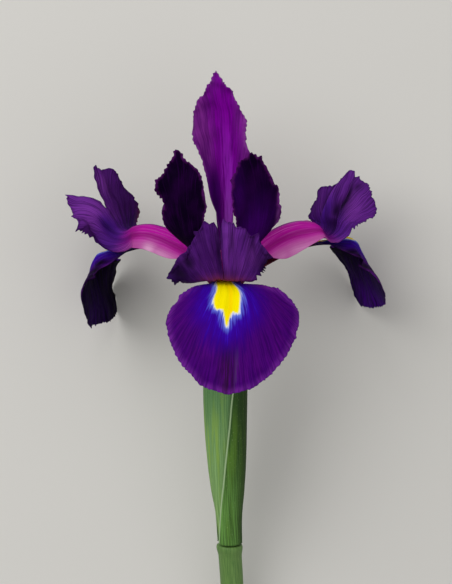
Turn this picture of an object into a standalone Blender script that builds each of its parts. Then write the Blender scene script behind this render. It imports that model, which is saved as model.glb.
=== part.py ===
# A cut iris flower lying on its back: three falls, three standards, three style arms with
# two-lobed crests, three stamens, the ovary, two green spathe bracts and a short cut stem.
#
# Lengths are in millimetres and angles in degrees until a mesh is made, where MM turns them
# into metres. The flower has a frame of its own: x to its right, front towards its front fall,
# and up along its axis from the rim of the perianth tube. A petal is first drawn as a flat
# cut-out, with p across it and q along its midrib. The cut-out is then bent along a spine,
# which lies in the upright plane through the flower's axis, with r out from the axis and a up.
import math

import bpy
import numpy as np

MM = 0.001

# How the flower lies: its axis leans up out of the surface, and the whole is moved so that
# the surface is at zero and the middle of its outline is at the origin.
LEAN = 15.725
ROLL = -0.555
CENTRE = (-0.087, 24.027, 35.418)

PETAL_THICK = 0.7
BRACT_THICK = 0.6
GAP = 0.35

# How wide the hollow between the two lobes of a crest is, to either side of the slit.
VALLEY_WIDTH = 2.2

# The petals rise in one ring from the rim of the perianth tube.
RIM_RADIUS = 3.4
PETAL_FOOT = 0.55
TUBE_TOP_RADIUS = 4.3
CLAW_FOOT = 1.15

# The style column stands in the middle of the tube and carries the three arms.
COLUMN_RADIUS = 1.15
COLUMN_TOP_RADIUS = 2.2
COLUMN_HEIGHT = 7.0
ARM_FOOT_RADIUS = 1.35
ARM_FOOT = 0.9

# The ovary hides in the spathe, on top of the stem's thin upper end.
OVARY_BASE = -27.0
PEDICEL_RADIUS = 2.1
STEM_RADIUS = 3.6
NODE_RADIUS = 4.0
NODE_HEIGHT = -77.5
STEM_END = -118.0

# The stem's middle line as (up, x). It bends a little to the right on its way down.
STEM_LINE = [(STEM_END, 2.8), (-90, 1.8), (-69, 0.5), (-59, 0.0), (-50, -0.3), (-40, -0.6), (-28, -0.7),
             (-12, -0.3), (0, 0)]

# Cut-out of a fall: half widths of its haft along q, then the outlines of its blade's two halves.
# Each half is given outward from the midrib, and both end at the same place.
FALL_HAFT = [(0, CLAW_FOOT), (3, 1.5), (8, 2.4), (16, 3.1), (26, 3.3), (32, 4.2)]
FRONT_FALL_BLADE = (
    [(4.2, 0), (10.8, 1.2), (15.4, 3.6), (18.4, 9), (18.7, 14.4), (17.8, 18.8), (15.6, 24), (11.8, 29.2),
     (7.6, 33.2), (3.4, 35.4), (-0.4, 36.2)],
    [(4.2, 0), (12.2, 0.4), (16.2, 1.4), (19.4, 3.6), (21, 9.4), (20.4, 15.2), (18.6, 21.8), (15, 27.8),
     (10, 32.8), (4.6, 35.4), (0.4, 36.2)],
)
LEFT_FALL_BLADE = (
    [(4.2, 0), (4.4, 2.4), (5.4, 5.4), (8.2, 9.4), (13.6, 14), (17.4, 19), (18.4, 24), (18.2, 29),
     (17, 33.8), (12, 35.4), (6, 35.2)],
    [(4.2, 0), (7, 1.8), (10, 4.6), (12.8, 9), (15.2, 16), (17.8, 22), (18.6, 27.6), (15, 31.8), (5, 34.2),
     (-6, 35.2)],
)
RIGHT_FALL_BLADE = (
    [(4.2, 0), (7.4, 1.6), (11.6, 4.6), (15, 9.6), (17, 16), (18.8, 22), (18.4, 26), (14.6, 30),
     (6.4, 33.2), (-4, 35.6)],
    [(4.2, 0), (4.4, 2), (5.8, 5), (8.8, 9), (13, 14), (16, 20), (17, 25), (17.6, 30.6), (15.8, 35),
     (10.4, 36.4), (4, 35.6)],
)

# Cut-outs of the standards. The two in front are shorter and broader than the one behind.
BACK_CLAW = [(0, CLAW_FOOT), (4, 1.4), (10, 1.8), (16, 2.1), (24, 2.7)]
BACK_BLADE = (
    [(2.7, 0), (3.6, 5), (4.6, 10), (6.8, 14), (8.8, 16.6), (8, 19), (7.6, 22), (8.2, 26.4), (7.4, 30.4),
     (6.2, 32.8), (5.2, 36.4), (3.2, 39.4), (1.4, 42.4), (0.6, 43.9)],
    [(2.7, 0), (4.2, 3.8), (5.2, 9.8), (6.2, 14.4), (8, 19.6), (8.8, 22.8), (8, 27.4), (7.4, 30.4),
     (6.4, 33.2), (4, 36.2), (1.8, 39.6), (-0.6, 43.9)],
)
FRONT_CLAW = [(0, CLAW_FOOT), (4, 1.4), (9, 2.0), (13, 2.6), (18, 4.0)]
LEFT_BLADE = (
    [(4, 0), (5.6, 3.5), (7.2, 6.5), (7.4, 10), (6.6, 12.2), (5.2, 14.2), (6.8, 16.8), (7.6, 19.2),
     (7.4, 21.2), (5.4, 23.8), (4.2, 25.4), (2.4, 28.4), (0.8, 31)],
    [(4, 0), (5.4, 5), (7, 9.8), (8.2, 12.4), (9, 14.8), (9, 16.8), (8.2, 19.2), (7.6, 22.8), (6.2, 25.2),
     (4, 27), (2, 28), (1, 30), (-0.8, 31)],
)
RIGHT_BLADE = (
    [(4, 0), (5.4, 5.5), (6.6, 10), (8, 12.6), (8.6, 16.4), (8.4, 19.8), (8, 23.8), (5.8, 25.6),
     (4.2, 27.8), (1.6, 29.2), (0, 30.2)],
    [(4, 0), (6.6, 3.5), (7.2, 7), (8.8, 9.6), (8.4, 12.4), (7.6, 15), (7.6, 17.4), (6.8, 19), (5.2, 20.6),
     (5, 23.4), (3.4, 26.6), (2.6, 28.8), (1.6, 29.2), (0, 30.2)],
)

# Cut-out of a style arm. Then the lobes of the crests, each as its outer edge and its edge at the slit.
ARM_STRIP = [(0, ARM_FOOT), (4, 1.3), (9, 4.4), (15, 8.4), (24, 9.4), (31, 8.6), (36, 6.6)]
LEFT_STRIP = [(0, ARM_FOOT), (4, 1.3), (9, 4.4), (15, 8.2), (24, 9.0), (31, 9.0), (36, 8.6)]
RIGHT_STRIP = [(0, ARM_FOOT), (4, 1.3), (9, 5.2), (14, 9.4), (20, 10.2), (26, 9.4), (31, 8.6), (36, 7.6)]
SLIT = [(0, 0), (0.35, 4), (0.4, 10), (0.4, 16)]
LOBES = {
    "front_left": ([(6.6, 0), (11.5, 0.2), (15, 0.3), (16.4, 2.6), (15.4, 4.8), (12.8, 6), (11.6, 7.6),
                    (10.6, 9.4), (9.8, 12), (7.6, 14.2), (6.2, 16.6), (5.6, 19), (3.4, 20.8), (1.4, 20.6)],
                   SLIT + [(0.6, 18.8), (1.4, 20.6)]),
    "front_right": ([(6.6, 0), (8.2, 1), (10.8, 2.8), (13, 5.6), (14.6, 9), (13.2, 10.4), (12.2, 12.4),
                     (11.4, 14.4), (9.4, 16.4), (7.4, 18.2), (4.8, 19.8), (1.2, 21.6)],
                    SLIT + [(0.6, 19.4), (1.2, 21.6)]),
    "left_far": ([(8.6, 0), (11.6, 1.2), (13, 3.4), (11.8, 6.4), (10.4, 9.6), (9.2, 12.4), (8.8, 15),
                  (7.4, 17.4), (6.8, 19.8), (4.8, 21.6), (1.4, 22)], SLIT + [(0.6, 20), (1.4, 22)]),
    "left_near": ([(8.6, 0), (9.2, 1.4), (10.4, 4.4), (11.6, 8), (12.4, 11), (10.2, 14), (8.2, 17.2),
                   (5, 20.4), (2.2, 23)], SLIT + [(0.8, 19.2), (2.2, 23)]),
    "right_near": ([(7.6, 0), (8.4, 1.4), (10.6, 4), (12.4, 7), (13.4, 10.4), (13, 13.6), (10.8, 16.8),
                    (7.4, 19.4), (3.2, 20.4)], SLIT + [(0.8, 18.6), (3.2, 20.4)]),
    "right_far": ([(7.6, 0), (9.6, 1.6), (9.4, 5), (8.8, 8), (8.6, 10.6), (8, 12.8), (5.8, 14), (4.6, 17),
                   (4, 19.4), (1.4, 21)], SLIT + [(0.6, 19.4), (1.4, 21)]),
}


def slopes_of(points):
    """A list of points with the chord length up to each, and the slope of a smooth curve there."""
    pts = np.asarray(points, float)
    steps = np.linalg.norm(np.diff(pts, axis=0), axis=1)
    knots = np.concatenate([[0], np.cumsum(steps)])
    grads = np.diff(pts, axis=0) / steps[:, None]
    inner = (grads[:-1] * steps[1:, None] + grads[1:] * steps[:-1, None]) / (steps[:-1] + steps[1:])[:, None]
    return pts, knots, np.concatenate([grads[:1], inner, grads[-1:]])


def curve(points, shares):
    """Points of a smooth curve through the given ones, at shares 0 to 1 of its length."""
    pts, knots, slopes = slopes_of(points)
    t = np.clip(np.asarray(shares, float), 0, 1) * knots[-1]
    i = np.clip(np.searchsorted(knots, t, side="right") - 1, 0, len(knots) - 2)
    step = (knots[i + 1] - knots[i])[:, None]
    x = ((t - knots[i]) / step[:, 0])[:, None]
    return (
        pts[i] * (2 * x**3 - 3 * x**2 + 1)
        + pts[i + 1] * (3 * x**2 - 2 * x**3)
        + slopes[i] * step * (x**3 - 2 * x**2 + x)
        + slopes[i + 1] * step * (x**3 - x**2)
    )


def profile(pairs, q):
    """A value that changes smoothly along q, given as (q, value) pairs, or one plain number."""
    q = np.asarray(q, float)
    if np.isscalar(pairs):
        return np.full(q.shape, float(pairs))
    at, value = np.array(pairs, float).T
    grads = np.diff(value) / np.diff(at)
    turning = grads[:-1] * grads[1:] <= 0
    inner = np.where(turning, 0.0, (grads[:-1] + grads[1:]) / 2)
    slopes = np.concatenate([grads[:1], inner, [0.0]])
    i = np.clip(np.searchsorted(at, q, side="right") - 1, 0, len(at) - 2)
    step = at[i + 1] - at[i]
    x = np.clip((q - at[i]) / step, 0, 1)
    return (
        value[i] * (2 * x**3 - 3 * x**2 + 1)
        + value[i + 1] * (3 * x**2 - 2 * x**3)
        + slopes[i] * step * (x**3 - 2 * x**2 + x)
        + slopes[i + 1] * step * (x**3 - x**2)
    )


class Spine:
    """The midrib's curve in its upright plane, read by the distance q along it."""

    def __init__(self, points, extra=30.0, samples=400):
        path = curve(points, np.linspace(0, 1, samples))
        end = path[-1] - path[-2]
        path = np.vstack([path, path[-1] + end / np.linalg.norm(end) * extra])
        self.path = path
        self.q = np.concatenate([[0], np.cumsum(np.linalg.norm(np.diff(path, axis=0), axis=1))])
        self.slope = np.gradient(path, self.q, axis=0)

    def distance_to(self, point):
        """q of the place on the spine nearest to a point."""
        return self.q[np.argmin(np.linalg.norm(self.path - np.asarray(point), axis=1))]

    def at(self, q):
        place = np.stack([np.interp(q, self.q, self.path[:, k]) for k in (0, 1)], axis=-1)
        along = np.stack([np.interp(q, self.q, self.slope[:, k]) for k in (0, 1)], axis=-1)
        return place, along / np.linalg.norm(along, axis=-1, keepdims=True)


def patch(bottom, top, left, right):
    """Fills a four-sided outline with a grid: bottom and top run across, left and right along."""
    s = np.linspace(0, 1, len(bottom))[None, :, None]
    t = np.linspace(0, 1, len(left))[:, None, None]
    ruled = (1 - t) * bottom[None] + t * top[None] + (1 - s) * left[:, None] + s * right[:, None]
    corners = (1 - t) * ((1 - s) * bottom[0] + s * bottom[-1]) + t * ((1 - s) * top[0] + s * top[-1])
    return ruled - corners


def strip_grid(widths, length, across, along):
    """Grid of a narrow strip whose half width follows the (q, half width) pairs."""
    q = np.linspace(0, length, along)
    half = profile(widths, q)
    v = np.linspace(-1, 1, across)
    return np.stack([half[:, None] * v[None], np.repeat(q[:, None], across, axis=1)], axis=-1)


def blade_grid(halves, across, along, corner):
    """Grid of a blade from the outlines of its left and right halves, which share their last place."""
    left, right = (np.array(half, float) for half in halves)
    left[:, 0] *= -1
    rim = np.linspace(corner, 1, across // 2 + 1)
    side = np.linspace(0, corner, along)
    top = np.vstack([curve(left, rim), curve(right, rim)[::-1][1:]])
    bottom = np.linspace(left[0], right[0], len(top))
    return patch(bottom, top, curve(left, side), curve(right, side))


def lobe_grid(edges, side, across, along, corner=0.5):
    """Grid of one crest lobe. side is -1 for the left lobe and 1 for the right one."""
    outer, inner = edges
    edge = np.linspace(0, corner, along)
    rim = np.linspace(corner, 1, across // 2 + 1)
    top = np.vstack([curve(outer, rim), curve(inner, rim)[::-1][1:]])
    bottom = np.linspace(outer[0], inner[0], len(top))
    grid = patch(bottom, top, curve(outer, edge), curve(inner, edge))
    if side < 0:
        return grid * np.array([-1, 1])
    return grid[:, ::-1]


def rim_weight(grid):
    """How close each grid place is to the blade's free sides and top: 0 inside, 1 on the edge."""
    v = np.abs(np.linspace(-1, 1, grid.shape[1]))[None]
    u = np.linspace(0, 1, grid.shape[0])[:, None]
    return np.maximum(u * v**2, u**3)


class Sheet:
    """A flat cut-out made of grids that share their edges."""

    def __init__(self):
        self.points, self.rims, self.faces, self.index = [], [], [], {}

    def corner(self, place, rim):
        key = (round(place[0], 4), round(place[1], 4))
        if key not in self.index:
            self.index[key] = len(self.points)
            self.points.append(place)
            self.rims.append(rim)
        return self.index[key]

    def add(self, grid, rims=None):
        """Adds a grid as triangles. rims says how near each place is to the free edge."""
        rows, columns = grid.shape[:2]
        rims = np.zeros((rows, columns)) if rims is None else rims
        ids = [[self.corner(grid[i, j], rims[i, j]) for j in range(columns)] for i in range(rows)]
        for i in range(rows - 1):
            for j in range(columns - 1):
                a, b, c, d = ids[i][j], ids[i][j + 1], ids[i + 1][j + 1], ids[i + 1][j]
                halves = [(a, b, c), (a, c, d)] if (i + j) % 2 else [(a, b, d), (b, c, d)]
                self.faces += [f for f in halves if len(set(f)) == 3]


def section(p, fold, curl, crease):
    """Bends a straight line across the midrib. Gives how far the place at p lies to the side,
    and how far it rises towards the petal's inner face."""
    steps = (np.arange(16) + 0.5) / 16
    s = p[..., None] * steps
    angle = np.radians(fold)[..., None] * np.tanh(s / crease) + curl[..., None] * s
    return p * np.cos(angle).mean(-1), p * np.sin(angle).mean(-1)


def form(sheet, spines, shape):
    """Bends a cut-out along the spines of its left and right halves, which part only at a slit.
    Returns places in the flower's own frame."""
    pts = np.array(sheet.points)
    rims = np.array(sheet.rims)
    p, q = pts[:, 0], pts[:, 1]
    right = p > 0
    fold = np.where(right, profile(shape["fold"][1], q), profile(shape["fold"][0], q))
    curl = np.where(right, profile(shape["curl"][1], q), profile(shape["curl"][0], q))
    side, inward = section(p, fold, curl, shape.get("crease", 1.5))
    turn = np.arctan2(p, q - shape["wave_root"])
    for count, height, phase in shape["waves"]:
        inward = inward + height * rims**1.5 * np.sin(count * turn + phase)
    inward = inward - profile(shape.get("valley", 0.0), q) * np.exp(-((p / VALLEY_WIDTH) ** 2))
    twist = np.radians(profile(shape.get("twist", 0.0), q))
    across, towards = side, inward
    side = across * np.cos(twist) - towards * np.sin(twist)
    inward = across * np.sin(twist) + towards * np.cos(twist)
    side = side + profile(shape.get("sway", 0.0), q)
    (left_place, left_along), (right_place, right_along) = (spine.at(q) for spine in spines)
    place = np.where(right[:, None], right_place, left_place)
    along = np.where(right[:, None], right_along, left_along)
    r = place[:, 0] - along[:, 1] * inward
    up = place[:, 1] + along[:, 0] * inward
    turn = math.radians(shape["azimuth"])
    x = r * math.sin(turn) + side * math.cos(turn)
    front = r * math.cos(turn) - side * math.sin(turn)
    return np.stack([x, front, up], axis=-1)


def lay_down(points):
    """From the flower's own frame (x, front, up) to the frame of the surface it lies on."""
    x, front, up = np.asarray(points, float).T
    lean, roll = math.radians(LEAN), math.radians(ROLL)
    y = up * math.cos(lean) - front * math.sin(lean)
    z = front * math.cos(lean) + up * math.sin(lean)
    x, z = x * math.cos(roll) + z * math.sin(roll), z * math.cos(roll) - x * math.sin(roll)
    return np.stack([x, y, z], axis=-1) + CENTRE


COLOURS = {
    "fall": ((0.045, 0.006, 0.13), 0.6),
    "standard": ((0.14, 0.01, 0.2), 0.55),
    "style": ((0.4, 0.02, 0.24), 0.5),
    "stamen": ((0.5, 0.42, 0.2), 0.6),
    "bract": ((0.1, 0.22, 0.05), 0.5),
    "stem": ((0.12, 0.24, 0.07), 0.5),
}


def material(name):
    """A plain material with the piece's main colour."""
    if name in bpy.data.materials:
        return bpy.data.materials[name]
    colour, rough = COLOURS[name]
    mat = bpy.data.materials.new(name)
    mat.use_nodes = True
    shader = mat.node_tree.nodes["Principled BSDF"]
    shader.inputs["Base Color"].default_value = (*colour, 1.0)
    shader.inputs["Roughness"].default_value = rough
    shader.inputs["Metallic"].default_value = 0.0
    mat.diffuse_color = (*colour, 1.0)
    return mat


def add_object(name, points, faces, finish, thick=0.0):
    """Makes a mesh object from places in millimetres. A thin one is a sheet that Solidify fills out."""
    mesh = bpy.data.meshes.new(name)
    mesh.from_pydata((lay_down(points) * MM).tolist(), [], [[int(i) for i in face] for face in faces])
    mesh.update()
    mesh.materials.append(material(finish))
    mesh.shade_smooth()
    obj = bpy.data.objects.new(name, mesh)
    bpy.context.collection.objects.link(obj)
    if thick:
        solid = obj.modifiers.new("thickness", "SOLIDIFY")
        solid.thickness = thick * MM
        solid.offset = 0.0
    return obj


def shifted(grid, start):
    """A grid moved along the cut-out, so that it begins at q = start."""
    return grid + np.array([0.0, start])


FALL_FOLD = [(0, 0), (8, 14), (22, 10), (32, 0), (36, -4), (50, 0)]
FALL_SHAPES = {
    "fall_front": {
        "azimuth": 0,
        "spine": [(RIM_RADIUS, PETAL_FOOT), (3.9, 2.4), (6.3, 4.8), (12, 7.4), (20, 9.6), (27, 10.6),
                  (32, 10.4), (37, 9.1), (41.2, 5), (44.4, -1), (46.8, -8), (48.3, -15), (49.2, -22)],
        "haft_end": (31.6, 10.4),
        "blade": FRONT_FALL_BLADE,
        "fold": [FALL_FOLD, FALL_FOLD],
        "curl": [[(0, 0), (28, 0), (38, -0.026), (53, -0.016), (70, 0.002)]] * 2,
        "sway": [(0, 0), (30, 0), (38, 1.4), (52, 0.7), (68, 0.2)],
        "waves": [(6, 0.5, 0.5)],
    },
    "fall_left": {
        "azimuth": -113,
        "spine": [(RIM_RADIUS, PETAL_FOOT), (3.9, 2.4), (6.3, 5.2), (12, 9.8), (17, 12.2), (22, 13.2),
                  (27, 13.2), (31, 12.6), (35, 11.9), (39.2, 11.2), (42.6, 9.6), (44.4, 6), (44.4, 1.6),
                  (43.2, -3), (42, -8), (41.2, -12.6)],
        "haft_end": (31, 12.6),
        "blade": LEFT_FALL_BLADE,
        "fold": [[(0, 0), (8, 14), (22, 10), (30, 0), (36, -26), (44, -38), (52, -14), (60, 0)],
                 [(0, 0), (8, 14), (22, 8), (29, -4), (34, -14), (38, -18), (45, -20), (51, -8),
                  (58, 0)]],
        "curl": [[(0, 0), (28, 0), (38, -0.02), (53, -0.006), (70, 0)],
                 [(0, 0), (28, 0), (36, -0.02), (42, -0.01), (48, 0.004), (70, 0)]],
        "twist": [(26, 0), (38, 0), (48, -12)],
        "waves": [(6, 0.8, 0.5)],
    },
    "fall_right": {
        "azimuth": 113,
        "spine": [(RIM_RADIUS, PETAL_FOOT), (3.9, 2.4), (6.3, 5.0), (12, 8.4), (18, 11), (24, 13),
                  (29, 14.0), (33.5, 14.4), (37, 15.0), (40.2, 15.2), (42.8, 13.9), (44.6, 10.8), (46.2, 6),
                  (47.7, 1), (49.2, -3.6), (50.2, -7.5)],
        "haft_end": (32, 14.2),
        "blade": RIGHT_FALL_BLADE,
        "fold": [[(0, 0), (8, 14), (22, 10), (32, 0), (38, -14), (45, -18), (51, -4), (58, 2)],
                 [(0, 0), (8, 14), (22, 10), (31, 0), (37, -28), (44, -36), (52, -20), (60, -8)]],
        "curl": [[(0, 0), (28, 0), (36, -0.02), (42, -0.01), (48, 0.004), (70, 0)],
                 [(0, 0), (28, 0), (38, -0.02), (53, -0.006), (70, 0)]],
        "twist": [(26, 0), (38, 0), (48, 12)],
        "waves": [(6, 0.8, 2.5)],
    },
}

BACK_FOLD = [(0, 0), (6, 16), (20, 26), (36, 14), (55, 6)]
FRONT_FOLD = [(0, 0), (6, 20), (14, 24), (28, 4), (55, -4)]
STANDARD_SHAPES = {
    "standard_back": {
        "azimuth": 180,
        "spine": [(RIM_RADIUS, PETAL_FOOT), (3.7, 6), (4.8, 14), (6, 24), (7.5, 36), (8.3, 48), (8, 58),
                  (6.5, 64.2), (5.5, 67.0)],
        "claw": BACK_CLAW,
        "blade": BACK_BLADE,
        "fold": [BACK_FOLD, BACK_FOLD],
        "curl": [[(0, 0), (20, 0.02), (40, 0.02), (70, 0.01)]] * 2,
        "sway": [(0, 0), (24, 0.4), (46, 1.4), (70, 3.6)],
        "waves": [(5, 0.7, 1.0)],
    },
    "standard_left": {
        "azimuth": -52,
        "spine": [(RIM_RADIUS, PETAL_FOOT), (4.4, 3.8), (7.4, 9.4), (10.9, 14.7), (14.6, 21.2),
                  (16.4, 27.4), (17.1, 33.9), (17.4, 39.9), (18.1, 45.8)],
        "claw": FRONT_CLAW,
        "blade": LEFT_BLADE,
        "fold": [FRONT_FOLD, FRONT_FOLD],
        "curl": [[(0, 0), (20, 0.0), (40, -0.02), (70, -0.02)]] * 2,
        "twist": [(10, 0), (24, 24)],
        "waves": [(6, 1.0, 0.4)],
    },
    "standard_right": {
        "azimuth": 52,
        "spine": [(RIM_RADIUS, PETAL_FOOT), (4.4, 3.8), (6.6, 9.5), (9.0, 16.5), (11, 22.8), (11.6, 28),
                  (11.2, 34), (10.4, 39), (10, 44.5)],
        "claw": [(q * 0.85, half) for q, half in FRONT_CLAW],
        "blade": RIGHT_BLADE,
        "fold": [FRONT_FOLD, FRONT_FOLD],
        "curl": [[(0, 0), (20, 0.0), (40, -0.02), (70, -0.02)]] * 2,
        "twist": [(10, 0), (24, -24)],
        "waves": [(6, 1.0, 2.4)],
    },
}

# An arm's spine runs to the foot of its crest. Each lobe then has a spine of its own, along the slit.
ARM_FOLD = [(0, 0), (5, -26), (12, -48), (20, -58), (28, -52), (34, -30)]
FRONT_ARM_FOLD = [(0, 0), (5, -24), (12, -44), (20, -50), (28, -44), (34, -28), (41, 6), (60, 10)]
ARM_CURL = [(0, 0), (20, -0.02), (36, 0.0), (60, 0.01)]
ARM_SHAPES = {
    "style_arm_front": {
        "azimuth": 0,
        "spine": [(ARM_FOOT_RADIUS, COLUMN_HEIGHT + PETAL_FOOT), (3.2, 10.4), (8, 14.2), (14, 17.0),
                  (20, 18.4), (26, 17.8), (30.4, 15.0), (32.8, 12.1)],
        "spines": [[(34.6, 12.0), (36.2, 14.5), (37.4, 19), (38.4, 25), (39.2, 31)]] * 2,
        "strip": ARM_STRIP,
        "lobes": ["front_left", "front_right"],
        "fold": [FRONT_ARM_FOLD, FRONT_ARM_FOLD],
        "curl": [ARM_CURL, ARM_CURL],
        "sway": [(34, 0), (60, -2.0)],
        "waves": [(13, 0.6, 0.4)],
    },
    "style_arm_left": {
        "azimuth": -113,
        "spine": [(ARM_FOOT_RADIUS, COLUMN_HEIGHT + PETAL_FOOT), (3.2, 10.4), (8, 14.0), (14, 17.2),
                  (20, 19.4), (25.5, 20.0), (30.2, 19.0), (32.8, 17.6)],
        "spines": [[(34.4, 18.0), (36.6, 20.2), (39.2, 23.8), (41.6, 27.6), (43.0, 31.6), (44.0, 36)],
                   [(34.6, 17.8), (36.8, 20.2), (39.2, 22.8), (42.0, 25.0), (45.2, 26.2), (49, 26.8),
                    (55, 28.2)]],
        "strip": LEFT_STRIP,
        "lobes": ["left_far", "left_near"],
        "fold": [ARM_FOLD + [(41, 20), (50, 30), (60, 30)],
                 ARM_FOLD[:-2] + [(28, -50), (34, -44), (38, -50), (45, -44), (60, -38)]],
        "curl": [ARM_CURL, ARM_CURL],
        "waves": [(13, 0.6, 0.4)],
    },
    "style_arm_right": {
        "azimuth": 113,
        "spine": [(ARM_FOOT_RADIUS, COLUMN_HEIGHT + PETAL_FOOT), (3.2, 10.4), (8, 14.4), (14, 18.4),
                  (20, 20.6), (26, 20.9), (30.4, 19.4), (32.8, 17.2)],
        "spines": [[(34.2, 18.6), (34.5, 21.5), (35.6, 25.5), (37.6, 29.5), (40.2, 33.6), (42.8, 37)],
                   [(34.2, 18.6), (34.6, 21.5), (36.2, 25.5), (38.8, 29.5), (41.6, 33.4), (44.4, 37)]],
        "strip": RIGHT_STRIP,
        "lobes": ["right_near", "right_far"],
        "fold": [ARM_FOLD[:-1] + [(34, -24), (38, -20), (45, -46), (60, -52)],
                 ARM_FOLD[:-2] + [(26, -42), (31, -14), (36, 8), (41, 22), (60, 16)]],
        "valley": [(34, 0), (40, 2.4), (52, 2.4), (60, 1)],
        "curl": [ARM_CURL, ARM_CURL],
        "waves": [(13, 0.6, 1.4)],
    },
}

# The spathe: heights and mid radii of the outer bract, and how much flatter it is from front to back.
BRACT_BASE = -76.9
BRACT_RADII = [(BRACT_BASE, 3.75), (-69, 4.15), (-59.5, 5.4), (-50, 6.2), (-40, 6.67), (-28, 6.93),
               (-18, 6.8), (-6, 5.6)]
BRACT_FLATNESS = [(BRACT_BASE, 1.0), (-60, 0.9), (-40, 0.82), (-6, 0.82)]
# Each bract's two margins as (up, turn from the front towards the right). They meet at the tip.
OUTER_MARGINS = [[(BRACT_BASE, -58), (-69, -36), (-59.5, -13), (-50, 0), (-40, 12), (-28, 23), (-17, 45),
                  (-10, 70), (-5.5, 98)],
                 [(BRACT_BASE, 250), (-60, 230), (-40, 210), (-28, 192), (-17, 160), (-10, 128),
                  (-5.5, 98)]]
INNER_MARGINS = [[(BRACT_BASE, -200), (-60, -215), (-40, -205), (-28, -180), (-18, -145), (-10, -105),
                  (-7, -82)],
                 [(BRACT_BASE, 40), (-60, 52), (-40, 48), (-28, 36), (-18, -2), (-10, -50), (-7, -82)]]

# A stamen as (r, a, half width, half depth): its thread, then the anther under the style arm.
STAMEN = [(2.15, GAP, 0.42, 0.42), (2.4, 2.6, 0.42, 0.42), (3.4, 5.4, 0.42, 0.42), (5.4, 8.2, 0.42, 0.42),
          (8.2, 10.9, 0.45, 0.42), (9.2, 11.6, 0.95, 0.6), (13, 13.7, 1.1, 0.7), (17, 15.2, 1.1, 0.7),
          (20.4, 15.9, 0.9, 0.6), (21.6, 16.0, 0.45, 0.4)]
STAMEN_TURNS = {"stamen_front": 0, "stamen_left": -113, "stamen_right": 113}


def make_fall(name, shape):
    """A fall: a narrow haft that arches out, and a broad blade that hangs from its end."""
    columns = 15
    spine = Spine(shape["spine"])
    start = spine.distance_to(shape["haft_end"])
    haft = strip_grid(FALL_HAFT, start, columns, 11)
    haft[-1, :, 0] = np.linspace(-FALL_HAFT[-1][1], FALL_HAFT[-1][1], columns)
    blade = blade_grid(shape["blade"], columns - 1, 13, 0.42)
    sheet = Sheet()
    sheet.add(haft)
    sheet.add(shifted(blade, start), rim_weight(blade))
    points = form(sheet, (spine, spine), {**shape, "wave_root": start - 2})
    return add_object(name, points, sheet.faces, "fall", PETAL_THICK)


def make_standard(name, shape):
    """A standard: a channelled claw, and an upright blade with a waved edge."""
    columns = 13
    spine = Spine(shape["spine"])
    start = shape["claw"][-1][0]
    claw = strip_grid(shape["claw"], start, columns, 9)
    blade = blade_grid(shape["blade"], columns - 1, 14, 0.6)
    sheet = Sheet()
    sheet.add(claw)
    sheet.add(shifted(blade, start), rim_weight(blade))
    points = form(sheet, (spine, spine), {**shape, "wave_root": start})
    return add_object(name, points, sheet.faces, "standard", PETAL_THICK)


def make_arm(name, shape):
    """A style arm: a ridged strip over the fall's haft, ending in a crest of two ragged lobes."""
    columns = 17
    spines = [Spine(shape["spine"] + lobe_spine) for lobe_spine in shape["spines"]]
    start = spines[0].distance_to(shape["spine"][-1])
    widths = shape["strip"]
    scale = start / widths[-1][0]
    strip = strip_grid([(q * scale, half) for q, half in widths], start, columns, 15)
    sheet = Sheet()
    sheet.add(strip)
    for side, lobe in zip((-1, 1), shape["lobes"]):
        grid = lobe_grid(LOBES[lobe], side, (columns - 1) // 2, 11)
        sheet.add(shifted(grid, start), rim_weight(grid))
    points = form(sheet, spines, {**shape, "wave_root": start - 3})
    return add_object(name, points, sheet.faces, "style", PETAL_THICK)


def stem_x(up):
    """How far right of the flower's axis the middle of the stem lies, at a height."""
    return curve(STEM_LINE, (np.asarray(up) - STEM_END) / -STEM_END)[:, 1]


def rings_solid(name, rings, finish):
    """A closed solid through rings of places, each with the same number of corners."""
    sides = len(rings[0])
    points = [place for ring in rings for place in ring]
    faces = []
    for i in range(len(rings) - 1):
        for j in range(sides):
            a, b = i * sides + j, i * sides + (j + 1) % sides
            faces += [(a, b + sides, a + sides), (a, b, b + sides)]
    last = (len(rings) - 1) * sides
    faces.append(tuple(reversed(range(sides))))
    faces.append(tuple(last + j for j in range(sides)))
    return add_object(name, points, faces, finish)


def round_ring(up, radius, sides, lobes=0.0):
    """A level ring round the stem's middle line. lobes makes it three-sided."""
    turns = np.arange(sides) * 2 * math.pi / sides
    wide = radius * (1 + lobes * np.cos(3 * turns))
    x = stem_x([up])[0]
    return [(x + w * math.sin(t), w * math.cos(t), up) for t, w in zip(turns, wide)]


def make_stem():
    """The stem: a round stalk with a straight cut, a node, and the thin end that carries the ovary."""
    rings = [(STEM_END, STEM_RADIUS), (-104, STEM_RADIUS), (-90, STEM_RADIUS - 0.1), (-80.5, STEM_RADIUS)]
    rings += [(NODE_HEIGHT - 1.2, NODE_RADIUS), (NODE_HEIGHT, NODE_RADIUS)]
    rings += [(NODE_HEIGHT + 0.2, PEDICEL_RADIUS), (-62, PEDICEL_RADIUS), (-44, PEDICEL_RADIUS)]
    rings += [(OVARY_BASE - GAP, PEDICEL_RADIUS)]
    return rings_solid("stem", [round_ring(up, radius, 20) for up, radius in rings], "stem")


def make_ovary():
    """The three-sided ovary, with the short perianth tube that the petals stand on."""
    rings = [(OVARY_BASE, PEDICEL_RADIUS), (-24.5, 2.9), (-20, 3.4), (-14, 3.5), (-9, 3.1), (-6, 2.7)]
    rings += [(-4, 2.8), (-2, 3.5), (-0.6, TUBE_TOP_RADIUS), (0, TUBE_TOP_RADIUS)]
    return rings_solid("ovary", [round_ring(up, radius, 18, 0.06) for up, radius in rings], "stem")


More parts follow.
